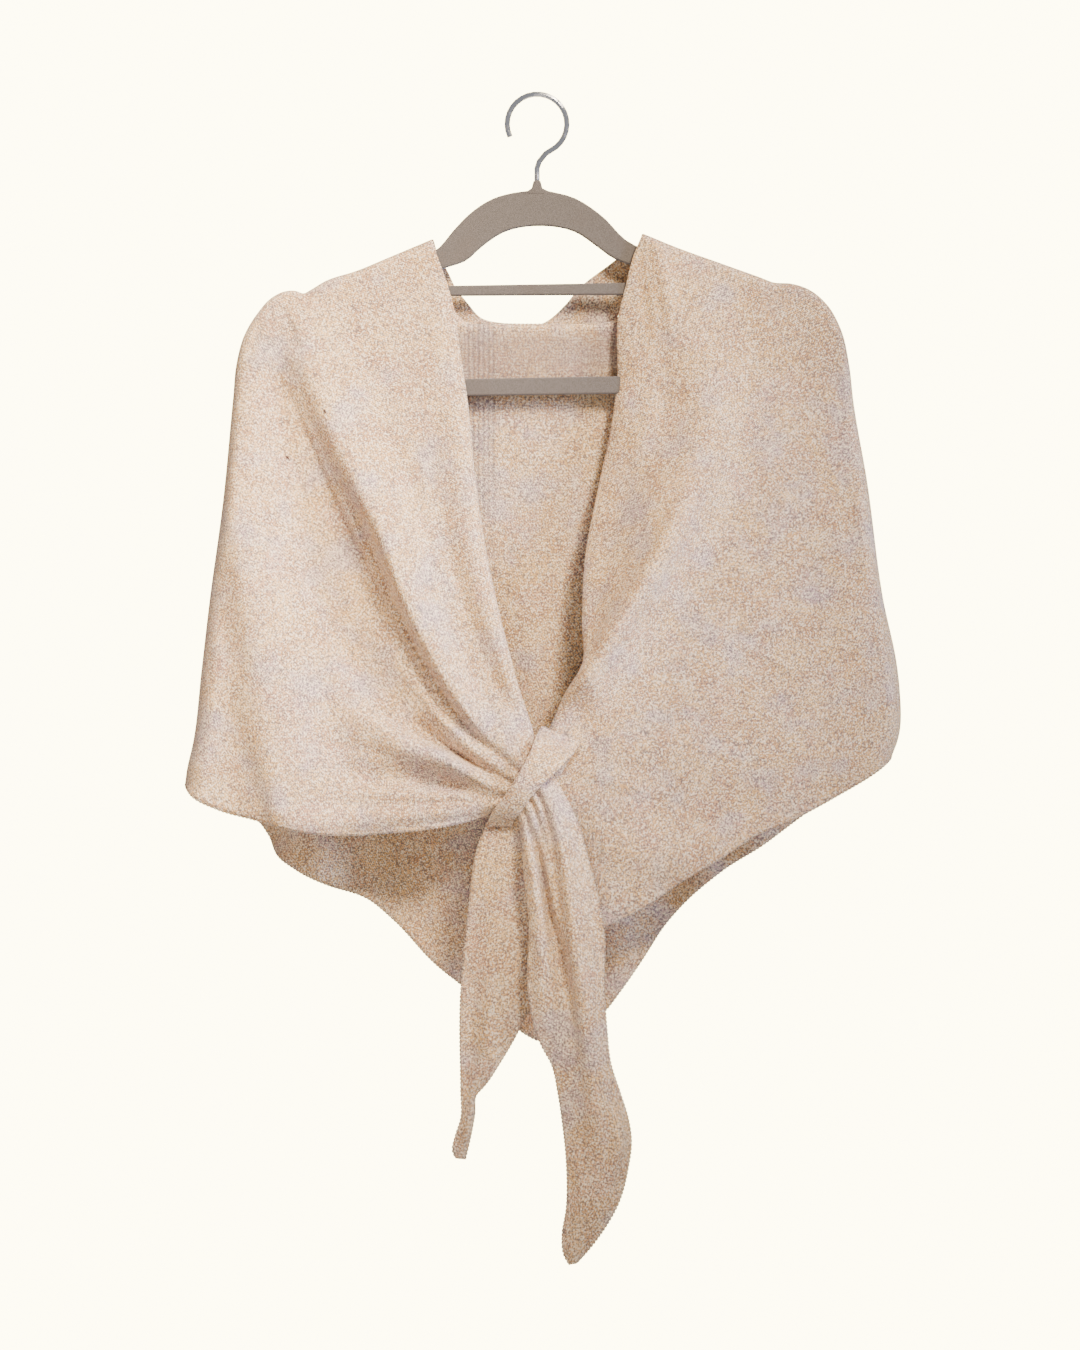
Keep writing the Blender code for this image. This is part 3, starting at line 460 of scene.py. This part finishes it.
# ---- nodes of a material --------------------------------------------------------------
MIX_INPUTS = (0, 6, 7)    # of a mix node for colours: its share and its two colours
MIX_OUTPUT = 2


class Nodes:
    """Adds and joins the nodes of one material."""

    def __init__(self, name, roughness, sheen=0.0, sheen_roughness=0.5, metallic=0.0):
        self.material = bpy.data.materials.new(name)
        self.material.use_nodes = True
        self.tree = self.material.node_tree
        self.shader = self.tree.nodes["Principled BSDF"]
        self.shader.inputs["Roughness"].default_value = roughness
        self.shader.inputs["Sheen Weight"].default_value = sheen
        self.shader.inputs["Sheen Roughness"].default_value = sheen_roughness
        self.shader.inputs["Metallic"].default_value = metallic

    def add(self, kind, values=(), output=0, **settings):
        node = self.tree.nodes.new(kind)
        for setting, value in settings.items():
            setattr(node, setting, value)
        for socket, value in (values.items() if isinstance(values, dict) else enumerate(values)):
            self.join(value, node.inputs[socket])
        return node.outputs[output]

    def join(self, value, socket):
        if isinstance(value, bpy.types.NodeSocket):
            self.tree.links.new(value, socket)
        else:
            socket.default_value = value

    def math(self, operation, *values):
        return self.add("ShaderNodeMath", values, operation=operation)

    def times(self, first, second):
        return self.math("MULTIPLY", first, second)

    def fade(self, value, start, end):
        """0 at the start to 1 at the end."""
        return self.add("ShaderNodeMapRange", (value, start, end), interpolation_type="SMOOTHSTEP")

    def mixed(self, share, first, second):
        values = dict(zip(MIX_INPUTS, (share, first, second)))
        return self.add("ShaderNodeMix", values, MIX_OUTPUT, data_type="RGBA")

    def place(self):
        """Where a point is, in metres in the world."""
        return self.add("ShaderNodeTexCoord", output="Object")

    def knit_place(self):
        """How far a point is along and down its cloth, in metres."""
        return self.add("ShaderNodeUVMap", uv_map=KNIT_LAYER)

    def noise(self, where, scale, detail=2.0, rough=0.5):
        values = {"Vector": where, "Scale": scale, "Detail": detail, "Roughness": rough}
        return self.add("ShaderNodeTexNoise", values)

    def shifted(self, where, by):
        return self.add("ShaderNodeMapping", {"Vector": where, "Location": by})

    def parts(self, vector):
        node = self.tree.nodes.new("ShaderNodeSeparateXYZ")
        self.join(vector, node.inputs[0])
        return node.outputs

    def bump(self, height, distance, normal=None):
        values = {"Height": height, "Distance": distance, "Strength": 1.0}
        if normal is not None:
            values["Normal"] = normal
        return self.add("ShaderNodeBump", values)

    def finish(self, colour, normal=None):
        self.join(colour, self.shader.inputs["Base Color"])
        if normal is not None:
            self.join(normal, self.shader.inputs["Normal"])
        return self.material


def shade(red, green, blue):
    """A colour given as 0 to 255 on a screen."""
    channels = [value / 255.0 for value in (red, green, blue)]
    return (*[value / 12.92 if value < 0.04045 else ((value + 0.055) / 1.055)**2.4
              for value in channels], 1.0)


# ---- the knit: sizes in metres, and the scale of a noise in waves a metre -----------------
KNIT_LAYER = "knit"
CREAM = shade(238, 194, 136)
OAT = shade(198, 148, 98)
ROSE = shade(210, 156, 128)
LAVENDER = shade(188, 168, 178)
SAND = shade(224, 174, 104)
LIGHT_FIBRE = shade(255, 232, 198)
# the dark of the yarn's flecks, and the painted shade in the gaps between stitches and along the open
# lines
DARK_FLECK_AND_SHADE = shade(88, 82, 84)
SHADED = shade(126, 104, 92)

#             tint,    scale, share, where in the noise
YARN_TINTS = [(ROSE, 34.0, 0.5, (0.0, 0.0, 0.0)),
              (LAVENDER, 28.0, 0.6, (0.3, 0.1, 0.7)),
              (SAND, 40.0, 0.6, (0.9, 0.5, 0.2))]
TINT_FADE = (0.48, 0.66)
YARN_SCALE = 62.0
YARN_FADE = (0.34, 0.66)
DARK_SCALE = 760.0
DARK_FADE = (0.46, 0.59)
DARK_SHARE = 0.75
PALE_SCALE = 700.0
PALE_FADE = (0.50, 0.62)
PALE_SHARE = 0.8
PALE_SHIFT = (0.2, 0.4, 0.6)    # keeps the pale flecks clear of the dark ones

STITCH_WIDE = 0.0026
STITCH_HIGH = 0.0021
STITCH_SLANT = 1.3       # rows that a leg would climb across a whole stitch
STITCH_WANDER = 0.0016   # how far the columns wander
WANDER_SCALE = 160.0
GAP_SHADE_FADE = (0.75, 0.15)  # heights of the face between which a gap's painted shade begins and is full
GAP_SHADE_SHARE = 0.70         # how dark the painted shade in the gaps between stitches is
OPEN_GAP_SHADE_SHARE = 0.30        # and how much darker that painted shade is where the shoulder tips stretch the stitches open
SHOULDER_TIPS = [(-0.212, 0.0, -0.178), (0.221, 0.0, -0.172)]
STRETCHED = (0.055, 0.020)    # distances from a tip between which the stitches open
FUZZ_SCALE = 900.0
FUZZ_HIGH = 0.6
LUMP_SCALE = 110.0
STITCH_BUMP = 0.0002
LUMP_BUMP = 0.0010

# lines of open stitches on the inside of the back, to the left: grooves, with painted shade along them
LINE_PITCH = 0.0037
LINE_LEFT = (-0.056, -0.050)    # x where they come in
LINE_RIGHT = (-0.028, -0.033)
LINE_FALL = (-0.40, -0.20)      # z from where they fade to where they are clear
LINE_SHADE_SHARE = 0.5
LINE_DEEP = -1.2

# the shade of the folded neck, close under the upper bar
SHADE_BELOW = (-0.245, -0.195)    # z
SHADE_ABOVE = (-0.165, -0.180)
SHADE_BESIDE = (0.085, 0.060)     # x to either side
SHADE_SHARE = 0.55


def stitches(nodes):
    """Height of a stockinette face, 0 in the gaps to 1 on the legs of the stitches."""
    across, down, _ = nodes.parts(nodes.knit_place())
    wander = nodes.noise(nodes.knit_place(), WANDER_SCALE, 1.0)
    across = nodes.math("MULTIPLY_ADD", wander, STITCH_WANDER, across)
    cell = nodes.math("FRACT", nodes.times(across, 1.0 / STITCH_WIDE))
    off_middle = nodes.math("ABSOLUTE", nodes.math("SUBTRACT", cell, 0.5))
    legs = nodes.math("SINE", nodes.times(off_middle, 2.0 * math.pi))
    rows = nodes.math("MULTIPLY_ADD", off_middle, STITCH_SLANT, nodes.times(down, 1.0 / STITCH_HIGH))
    row = nodes.math("SINE", nodes.times(nodes.math("FRACT", rows), math.pi))
    return nodes.math("POWER", nodes.times(legs, row), 0.5)


def melange(nodes, where):
    """The yarn's colour: soft patches, with dark and pale flecks."""
    broad = nodes.noise(where, YARN_SCALE, 4.0, 0.65)
    colour = nodes.mixed(nodes.fade(broad, *YARN_FADE), OAT, CREAM)
    for tint, scale, share, shift in YARN_TINTS:
        patch = nodes.noise(nodes.shifted(where, shift), scale, 4.0, 0.6)
        colour = nodes.mixed(nodes.times(nodes.fade(patch, *TINT_FADE), share), colour, tint)
    dark = nodes.fade(nodes.noise(where, DARK_SCALE, 1.0, 0.6), *DARK_FADE)
    colour = nodes.mixed(nodes.times(dark, DARK_SHARE), colour, DARK_FLECK_AND_SHADE)
    pale = nodes.noise(nodes.shifted(where, PALE_SHIFT), PALE_SCALE, 1.0, 0.6)
    return nodes.mixed(nodes.times(nodes.fade(pale, *PALE_FADE), PALE_SHARE), colour, LIGHT_FIBRE)


def stretched_gap_shade(nodes, where):
    """1 at the tips of the shoulders, where the stitches open and the painted shade in their gaps
    deepens.
    """
    total = 0.0
    for tip in SHOULDER_TIPS:
        away = nodes.add("ShaderNodeVectorMath", (where, tip), "Value", operation="DISTANCE")
        total = nodes.math("ADD", nodes.fade(away, *STRETCHED), total)
    return total


def open_lines_and_shade(nodes, where):
    """1 along the lines of open stitches inside the back, where they are grooved and darkened with
    painted shade.
    """
    x, _, z = nodes.parts(where)
    wave = nodes.math("SINE", nodes.times(x, 2.0 * math.pi / LINE_PITCH))
    band = nodes.times(nodes.fade(x, *LINE_LEFT), nodes.fade(x, *LINE_RIGHT))
    band = nodes.times(band, nodes.fade(z, *LINE_FALL))
    return nodes.times(nodes.math("MULTIPLY_ADD", wave, 0.5, 0.5), band)


def neck_shade(nodes, where):
    """1 inside the folded neck, fading out below, above and beside it."""
    x, _, z = nodes.parts(where)
    band = nodes.times(nodes.fade(z, *SHADE_BELOW), nodes.fade(z, *SHADE_ABOVE))
    return nodes.times(band, nodes.fade(nodes.math("ABSOLUTE", x), *SHADE_BESIDE))


def knit_material(name, inside_back=False):
    nodes = Nodes(name, 0.92, sheen=0.25, sheen_roughness=0.4)
    where = nodes.place()
    knit = stitches(nodes)
    # painted shade in the gaps between stitches, deeper at the shoulder tips
    gap_shade_share = nodes.math("MULTIPLY_ADD", stretched_gap_shade(nodes, where), OPEN_GAP_SHADE_SHARE, GAP_SHADE_SHARE)
    gap_shade_mask = nodes.fade(knit, *GAP_SHADE_FADE)
    colour = nodes.mixed(nodes.times(gap_shade_mask, gap_shade_share), melange(nodes, where), DARK_FLECK_AND_SHADE)
    fuzz = nodes.noise(where, FUZZ_SCALE, 3.0, 0.7)
    height = nodes.math("MULTIPLY_ADD", fuzz, FUZZ_HIGH, knit)
    if inside_back:
        lines_and_shade = open_lines_and_shade(nodes, where)
        # painted shade along the grooves of the open lines
        colour = nodes.mixed(nodes.times(lines_and_shade, LINE_SHADE_SHARE), colour, DARK_FLECK_AND_SHADE)
        height = nodes.math("MULTIPLY_ADD", lines_and_shade, LINE_DEEP, height)
        colour = nodes.mixed(nodes.times(neck_shade(nodes, where), SHADE_SHARE), colour, SHADED)
    lumps = nodes.noise(where, LUMP_SCALE, 2.0, 0.5)
    normal = nodes.bump(lumps, LUMP_BUMP, nodes.bump(height, STITCH_BUMP))
    return nodes.finish(colour, normal)


# ---- the hanger's flock and the hook's steel ----------------------------------------------
FLOCK_DARK = shade(74, 67, 61)
FLOCK_LIGHT = shade(96, 88, 82)
FLOCK_WORN = shade(84, 73, 65)
NAP_SCALE = 1400.0
NAP_BUMP = 0.0003
WORN_SCALE = 30.0
WORN_SHARE = 0.35
STEEL_BRIGHT = shade(226, 226, 228)
STEEL_DULL = shade(190, 189, 188)
DULL_SCALE = 120.0
DRAWN_SCALE = 900.0
DRAWN_OUT = (1.0, 1.0, 0.1)    # the marks of drawing run along z
DRAWN_BUMP = 0.00004


def flock_material():
    nodes = Nodes("grey_flock_finish", 0.88, sheen=0.35, sheen_roughness=0.35)
    where = nodes.place()
    nap = nodes.noise(where, NAP_SCALE, 3.0, 0.7)
    worn = nodes.fade(nodes.noise(where, WORN_SCALE, 3.0, 0.6), 0.5, 0.7)
    colour = nodes.mixed(nodes.fade(nap, 0.35, 0.65), FLOCK_DARK, FLOCK_LIGHT)
    colour = nodes.mixed(nodes.times(worn, WORN_SHARE), colour, FLOCK_WORN)
    return nodes.finish(colour, nodes.bump(nap, NAP_BUMP))


def steel_material():
    nodes = Nodes("hook_steel_finish", 0.24, metallic=1.0)
    where = nodes.place()
    along = nodes.add("ShaderNodeMapping", {"Vector": where, "Scale": DRAWN_OUT})
    drawn = nodes.noise(along, DRAWN_SCALE)
    dull = nodes.noise(where, DULL_SCALE, 3.0, 0.6)
    colour = nodes.mixed(nodes.fade(dull, 0.4, 0.7), STEEL_BRIGHT, STEEL_DULL)
    nodes.join(nodes.fade(dull, 0.1, 1.6), nodes.shader.inputs["Roughness"])
    return nodes.finish(colour, nodes.bump(drawn, DRAWN_BUMP))


# ---- meshes ---------------------------------------------------------------------------
def world_points(plan, depth):
    return np.stack([(plan[..., 0] - HOOK_LINE) * MM, depth * MM, plan[..., 1] * MM], axis=-1)


def crowded(count, crowd):
    """Shares from 0 to 1, closer together at both ends."""
    steps = np.linspace(0.0, 1.0, count)
    return steps - crowd * np.sin(2.0 * math.pi * steps) / (2.0 * math.pi)


def along_grid(points, axis):
    """Metres run along one way of a grid of points."""
    steps = np.linalg.norm(np.diff(points, axis=axis), axis=-1)
    run = np.cumsum(steps, axis=axis)
    pad = [(0, 0), (0, 0)]
    pad[axis] = (1, 0)
    return np.pad(run, pad)


def grid_mesh(name, points, faces_viewer):
    """A mesh on a grid of points, with its run along and across as the knit's coordinates."""
    rows, columns = points.shape[:2]
    corner = np.arange(rows * columns).reshape(rows, columns)
    quads = np.stack([corner[:-1, :-1], corner[1:, :-1], corner[1:, 1:], corner[:-1, 1:]], axis=-1)
    quads = quads.reshape(-1, 4)
    flat = points.reshape(-1, 3)
    normal = np.cross(flat[quads[:, 2]] - flat[quads[:, 0]], flat[quads[:, 3]] - flat[quads[:, 1]])
    if (normal[:, 1].sum() > 0) == faces_viewer:
        quads = quads[:, ::-1]
    mesh = bpy.data.meshes.new(name)
    mesh.from_pydata(flat.tolist(), [], quads.tolist())
    run = np.stack([along_grid(points, 0), along_grid(points, 1)], axis=-1).reshape(-1, 2)
    layer = mesh.uv_layers.new(name=KNIT_LAYER)
    layer.data.foreach_set("uv", run[quads.ravel()].astype(np.float32).ravel())
    mesh.shade_smooth()
    return mesh


def show(name, mesh, finish, slot, *stands_for):
    piece = bpy.data.objects.new(name, mesh)
    mesh.materials.append(finish)
    bpy.context.scene.collection.objects.link(piece)
    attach(piece, "root")
    if stands_for:
        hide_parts(*stands_for)
    return piece


# ---- chain stitches along the edges -----------------------------------------------------
LINK_LONG = 2.1 * MM     # half length of one chain stitch
LINK_WIDE = 1.25 * MM
LINK_PITCH = 3.0 * MM
LINK_LEAN = 0.5          # how far each stitch leans across the edge
LINK_ROUND = 8
LINK_RINGS = 5
ROLL_STATION = 2         # the station down the roll of the back that its stitches follow
ABOVE_ROLL = 1.0 * MM    # how far they lie above it
UP_FROM_ROLL = (0.0, -0.3, 0.954)
TINY = 1e-9


def link_points(centre, way, side):
    """One chain stitch: rings between two tips, leaning across the edge."""
    long_way = way + LINK_LEAN * side
    long_way /= np.linalg.norm(long_way)
    up = np.cross(long_way, side)
    up /= np.linalg.norm(up)
    wide_way = np.cross(up, long_way)
    points = [centre - long_way * LINK_LONG]
    for turn in np.linspace(0.0, math.pi, LINK_RINGS + 2)[1:-1]:
        middle = centre - long_way * LINK_LONG * math.cos(turn)
        radius = LINK_WIDE * math.sin(turn)
        for spin in np.linspace(0.0, 2.0 * math.pi, LINK_ROUND, endpoint=False):
            points.append(middle + (wide_way * math.cos(spin) + up * math.sin(spin)) * radius)
    points.append(centre + long_way * LINK_LONG)
    return points


def link_faces(first):
    """The faces of a chain stitch whose points start at first."""
    rings = [first + 1 + ring * LINK_ROUND for ring in range(LINK_RINGS)]
    last = first + 1 + LINK_RINGS * LINK_ROUND
    faces = []
    for k in range(LINK_ROUND):
        after = (k + 1) % LINK_ROUND
        faces.append((first, rings[0] + after, rings[0] + k))
        for low, high in zip(rings, rings[1:]):
            faces.append((low + k, low + after, high + after, high + k))
        faces.append((rings[-1] + k, rings[-1] + after, last))
    return faces


def read_along(run, vectors, where):
    """The vectors of a line, read where its run has given lengths."""
    return np.stack([np.interp(where, run, vectors[:, k]) for k in range(3)], axis=-1)


def chain(name, edges, finish):
    """Small slanted stitches set one after the other along each edge line."""
    points, faces = [], []
    for line, outward in edges:
        steps = np.linalg.norm(np.diff(line, axis=0), axis=1)
        run = np.concatenate(([0.0], np.cumsum(steps)))
        where = np.arange(0.5 * LINK_PITCH, run[-1], LINK_PITCH)
        centres = read_along(run, line, where)
        ahead = (read_along(run, line, where + LINK_PITCH / 2)
                 - read_along(run, line, where - LINK_PITCH / 2))
        ahead /= np.linalg.norm(ahead, axis=1)[:, None]
        for centre, way, side in zip(centres, ahead, read_along(run, outward, where)):
            faces += link_faces(len(points))
            points += link_points(centre, way, side)
    mesh = bpy.data.meshes.new(name)
    mesh.from_pydata([list(point) for point in points], [], faces)
    mesh.uv_layers.new(name=KNIT_LAYER)
    mesh.shade_smooth()
    return show(name, mesh, finish, "wool_knit")


def edge(points, which, start=0.0, end=1.0):
    """One edge of a grid of points, with the way that leads off the cloth there."""
    line, inner = {"first row": (points[0], points[1]),
                   "last row": (points[-1], points[-2]),
                   "first column": (points[:, 0], points[:, 1]),
                   "last column": (points[:, -1], points[:, -2])}[which]
    out = line - inner
    out /= np.linalg.norm(out, axis=1)[:, None] + TINY
    low, high = int(start * (len(line) - 1)), int(end * (len(line) - 1)) + 1
    return line[low:high], out[low:high]


def along_roll(points, start, end):
    """A line along the roll at the top of the back, with the way up from it."""
    low, high = int(start * len(points)), int(end * len(points))
    line = points[low:high, ROLL_STATION] + (0.0, 0.0, ABOVE_ROLL)
    return line, np.tile(UP_FROM_ROLL, (high - low, 1))


# ---- the wrap ---------------------------------------------------------------------------
FRONT_COLUMNS = 210
BACK_COLUMNS = 230
NECK_ROLL_ROWS = 6
BACK_ROLL_ROWS = 8
PANEL_ROWS = 190         # below the roll
CROWDED = 0.93           # how much closer the columns stand beside a panel's ends
BESIDE_FOLD = np.array([0.0, 2e-6, 3e-5, 1.2e-4])     # keeps the shell's rim out of the shading
TAIL_START = 0.002       # the right tail starts this much clear of the gathers


def even(count, start=0.0):
    return np.linspace(start, 1.0, count)


def down_from_roll(share, rows):
    """Stations down a panel whose top edge rolls over in the first share of it."""
    in_roll = np.linspace(0.0, share, rows, endpoint=False)
    return np.concatenate((in_roll, even(PANEL_ROWS, share)))


def cloth(name, node, surface, along, across, finish, faces_viewer):
    """One stretch of cloth on its solid's form, and the grid of its points."""
    u, v = np.meshgrid(along, across, indexing="ij")
    points = world_points(*surface(u, v))
    piece = show(name, grid_mesh(name, points, faces_viewer), finish, "wool_knit", node)
    wall = piece.modifiers.new("knit thickness", "SOLIDIFY")
    wall.thickness = CLOTH * MM
    wall.offset = 0.0
    return piece, points


knit = knit_material("wool_knit_face")
ribbed = knit_material("wool_knit_inside", inside_back=True)
across_front = np.concatenate((BESIDE_FOLD, crowded(FRONT_COLUMNS, CROWDED)[1:]))
down_front = down_from_roll(NECK_ROLL_SHARE, NECK_ROLL_ROWS)
across_back = np.concatenate((BESIDE_FOLD, crowded(BACK_COLUMNS, CROWDED)[1:-1],
                              1.0 - BESIDE_FOLD[::-1]))
down_back = down_from_roll(ROLL_SHARE, BACK_ROLL_ROWS)

#             piece, solid, surface, stations along, stations across, finish, faces the viewer
STRETCHES = [("wrap_front_left", "front_left", front_left, across_front, down_front, knit, True),
             ("wrap_front_right", "front_right", front_right, across_front, down_front, knit, True),
             ("wrap_back", "back", back, across_back, down_back, ribbed, False),
             ("wrap_back_collar", "back_collar", back_collar, even(160), even(40), knit, False),
             ("wrap_tail_left", "tail_left", tail_left, even(180), even(60), knit, True),
             ("wrap_tail_right", "tail_right", tail_right, even(220, TAIL_START), even(90), knit, True),
             ("wrap_loop", "loop_strap", loop_strap, even(90), even(40), knit, True)]
pieces, grids = {}, {}
for name, node, surface, along, across, finish, faces_viewer in STRETCHES:
    pieces[node], grids[node] = cloth(name, node, surface, along, across, finish, faces_viewer)

chain("wrap_edge_stitches", [
    edge(grids["loop_strap"], "first row"),
    edge(grids["loop_strap"], "last row"),
    along_roll(grids["back"], 0.40, 0.90),
    edge(grids["front_left"], "last column", 0.03, 0.97),
    edge(grids["front_right"], "last column", 0.03, 1.0),
    edge(grids["back"], "last column", 0.03, 0.97),
    edge(grids["tail_left"], "first column", 0.04, 1.0),
    edge(grids["tail_left"], "last column", 0.04, 1.0),
    edge(grids["tail_right"], "first column", 0.12, 1.0),
    edge(grids["tail_right"], "last column", 0.12, 1.0),
], knit)

# ---- single dark fibres caught in the left front ------------------------------------------
FIBRE_LONG = 2.0 * MM
FIBRE_WIDE = 0.9 * MM
FIBRE_PROUD = 0.5        # how far a fibre lies above the cloth
FIBRE_CROWN = 0.3        # and its middle above its edges
DARK_FIBRE = shade(74, 52, 44)
#          x,      z,      turn in degrees
FIBRES = [(-159.7, -234.0, 112.0), (-187.7, -265.7, 140.0)]


def fibres(name, cloth_points, finish):
    """A small flat lozenge for each fibre, lying on the cloth."""
    points, faces = [], []
    for x, z, turn in FIBRES:
        away = np.hypot(cloth_points[..., 0] - (x - HOOK_LINE) * MM, cloth_points[..., 2] - z * MM)
        centre = cloth_points[np.unravel_index(away.argmin(), away.shape)]
        lean = math.radians(turn)
        along = np.array((math.cos(lean), 0.0, math.sin(lean))) * FIBRE_LONG
        across = np.array((-math.sin(lean), 0.0, math.cos(lean))) * FIBRE_WIDE
        front = centre + (0.0, -(0.5 * CLOTH + FIBRE_PROUD) * MM, 0.0)
        first = len(points)
        points += [front - along, front - across, front + along, front + across,
                   front + (0.0, -FIBRE_CROWN * MM, 0.0)]
        faces += [(first + k, first + (k + 1) % 4, first + 4) for k in range(4)]
    mesh = bpy.data.meshes.new(name)
    mesh.from_pydata([list(point) for point in points], [], faces)
    return show(name, mesh, finish, "wool_knit")


fibres("wrap_dark_fibres", grids["front_left"], Nodes("dark_fibre", 0.9).finish(DARK_FIBRE))

# ---- finishes of the hanger and hook --------------------------------------------------------
for name, finish in (("hanger", flock_material()), ("hook", steel_material())):
    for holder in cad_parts[name].material_slots:
        holder.material = finish

# ---- floor, light and camera --------------------------------------------------------------
VIEW_MIDDLE = (0.0022, -0.003, -0.426)
VIEW_HEIGHT = 0.9936
CAMERA_AWAY = 2.585
SENSOR = 36.0
FLOOR_LEVEL = -1.32
FLOOR_RADIUS = 1.45
FLOOR_SIDES = 96
FLOOR_CREAM = shade(244, 240, 230)
#             colour,                  strength
BACKDROP = ((1.0, 0.88, 0.50, 1.0), 14.0)
ALL_ROUND = ((0.94, 0.95, 1.0, 1.0), 0.38)
#         name, place, aimed at, size, watts, colour, spread in degrees
LAMPS = [
    ("key", (0.60, -1.60, 1.00), (-0.37, 0.0, -0.24), (0.7, 0.7), 11.6, (1.0, 0.87, 0.70), 33.0),
    ("cool side", (1.5, -0.75, -0.10), (-0.35, 0.0, -0.42), (0.3, 0.5), 2.1, (0.66, 0.72, 1.0), 26.0),
    ("warm side", (-1.6, -0.7, 0.1), (-0.1, 0.0, -0.4), (0.5, 1.0), 1.0, (1.0, 0.70, 0.42), 40.0),
    ("from below", (-0.2, -1.7, -1.1), (-0.05, 0.0, -0.62), (0.8, 0.8), 1.2, (1.0, 0.92, 0.86), 34.0),
    ("behind", (0.5, 2.3, 0.6), (0.0, 0.0, -0.4), (1.2, 1.2), 100.0, (1.0, 0.93, 0.85), 180.0)]


def floor():
    """A pale round floor, below and behind what the camera takes in."""
    turns = np.linspace(0.0, 2.0 * math.pi, FLOOR_SIDES, endpoint=False)
    ring = [(FLOOR_RADIUS * math.cos(turn), FLOOR_RADIUS * math.sin(turn), FLOOR_LEVEL)
            for turn in turns]
    mesh = bpy.data.meshes.new("floor")
    mesh.from_pydata(ring, [], [tuple(range(FLOOR_SIDES))])
    piece = bpy.data.objects.new("floor", mesh)
    bpy.context.scene.collection.objects.link(piece)
    mesh.materials.append(Nodes("floor_paint", 0.8).finish(FLOOR_CREAM))


def lamp(name, place, aim_at, size, power, colour, spread):
    light = bpy.data.lights.new(name, "AREA")
    light.shape = "RECTANGLE"
    light.size, light.size_y = size
    light.energy = power
    light.color = colour
    light.spread = math.radians(spread)
    piece = bpy.data.objects.new(name, light)
    piece.location = place
    aim = Vector(aim_at) - Vector(place)
    piece.rotation_euler = aim.to_track_quat("-Z", "Y").to_euler()
    bpy.context.scene.collection.objects.link(piece)


def surroundings():
    """A cream backdrop to the eye, and a dim, slightly cool light from all round."""
    world = bpy.data.worlds.new("studio")
    world.use_nodes = True
    bpy.context.scene.world = world
    tree = world.node_tree
    tree.nodes.clear()
    path = tree.nodes.new("ShaderNodeLightPath")
    mixer = tree.nodes.new("ShaderNodeMixShader")
    output = tree.nodes.new("ShaderNodeOutputWorld")
    tree.links.new(path.outputs["Is Camera Ray"], mixer.inputs[0])
    for socket, (colour, strength) in ((1, ALL_ROUND), (2, BACKDROP)):
        light = tree.nodes.new("ShaderNodeBackground")
        light.inputs["Color"].default_value = colour
        light.inputs["Strength"].default_value = strength
        tree.links.new(light.outputs[0], mixer.inputs[socket])
    tree.links.new(mixer.outputs[0], output.inputs[0])


def camera():
    made = bpy.data.cameras.new("camera")
    made.sensor_width = SENSOR
    made.lens = SENSOR * CAMERA_AWAY / VIEW_HEIGHT
    piece = bpy.data.objects.new("camera", made)
    piece.location = (VIEW_MIDDLE[0], VIEW_MIDDLE[1] - CAMERA_AWAY, VIEW_MIDDLE[2])
    piece.rotation_euler = (math.radians(90.0), 0.0, 0.0)
    bpy.context.scene.collection.objects.link(piece)
    bpy.context.scene.camera = piece


floor()
surroundings()
for row in LAMPS:
    lamp(*row)
camera()
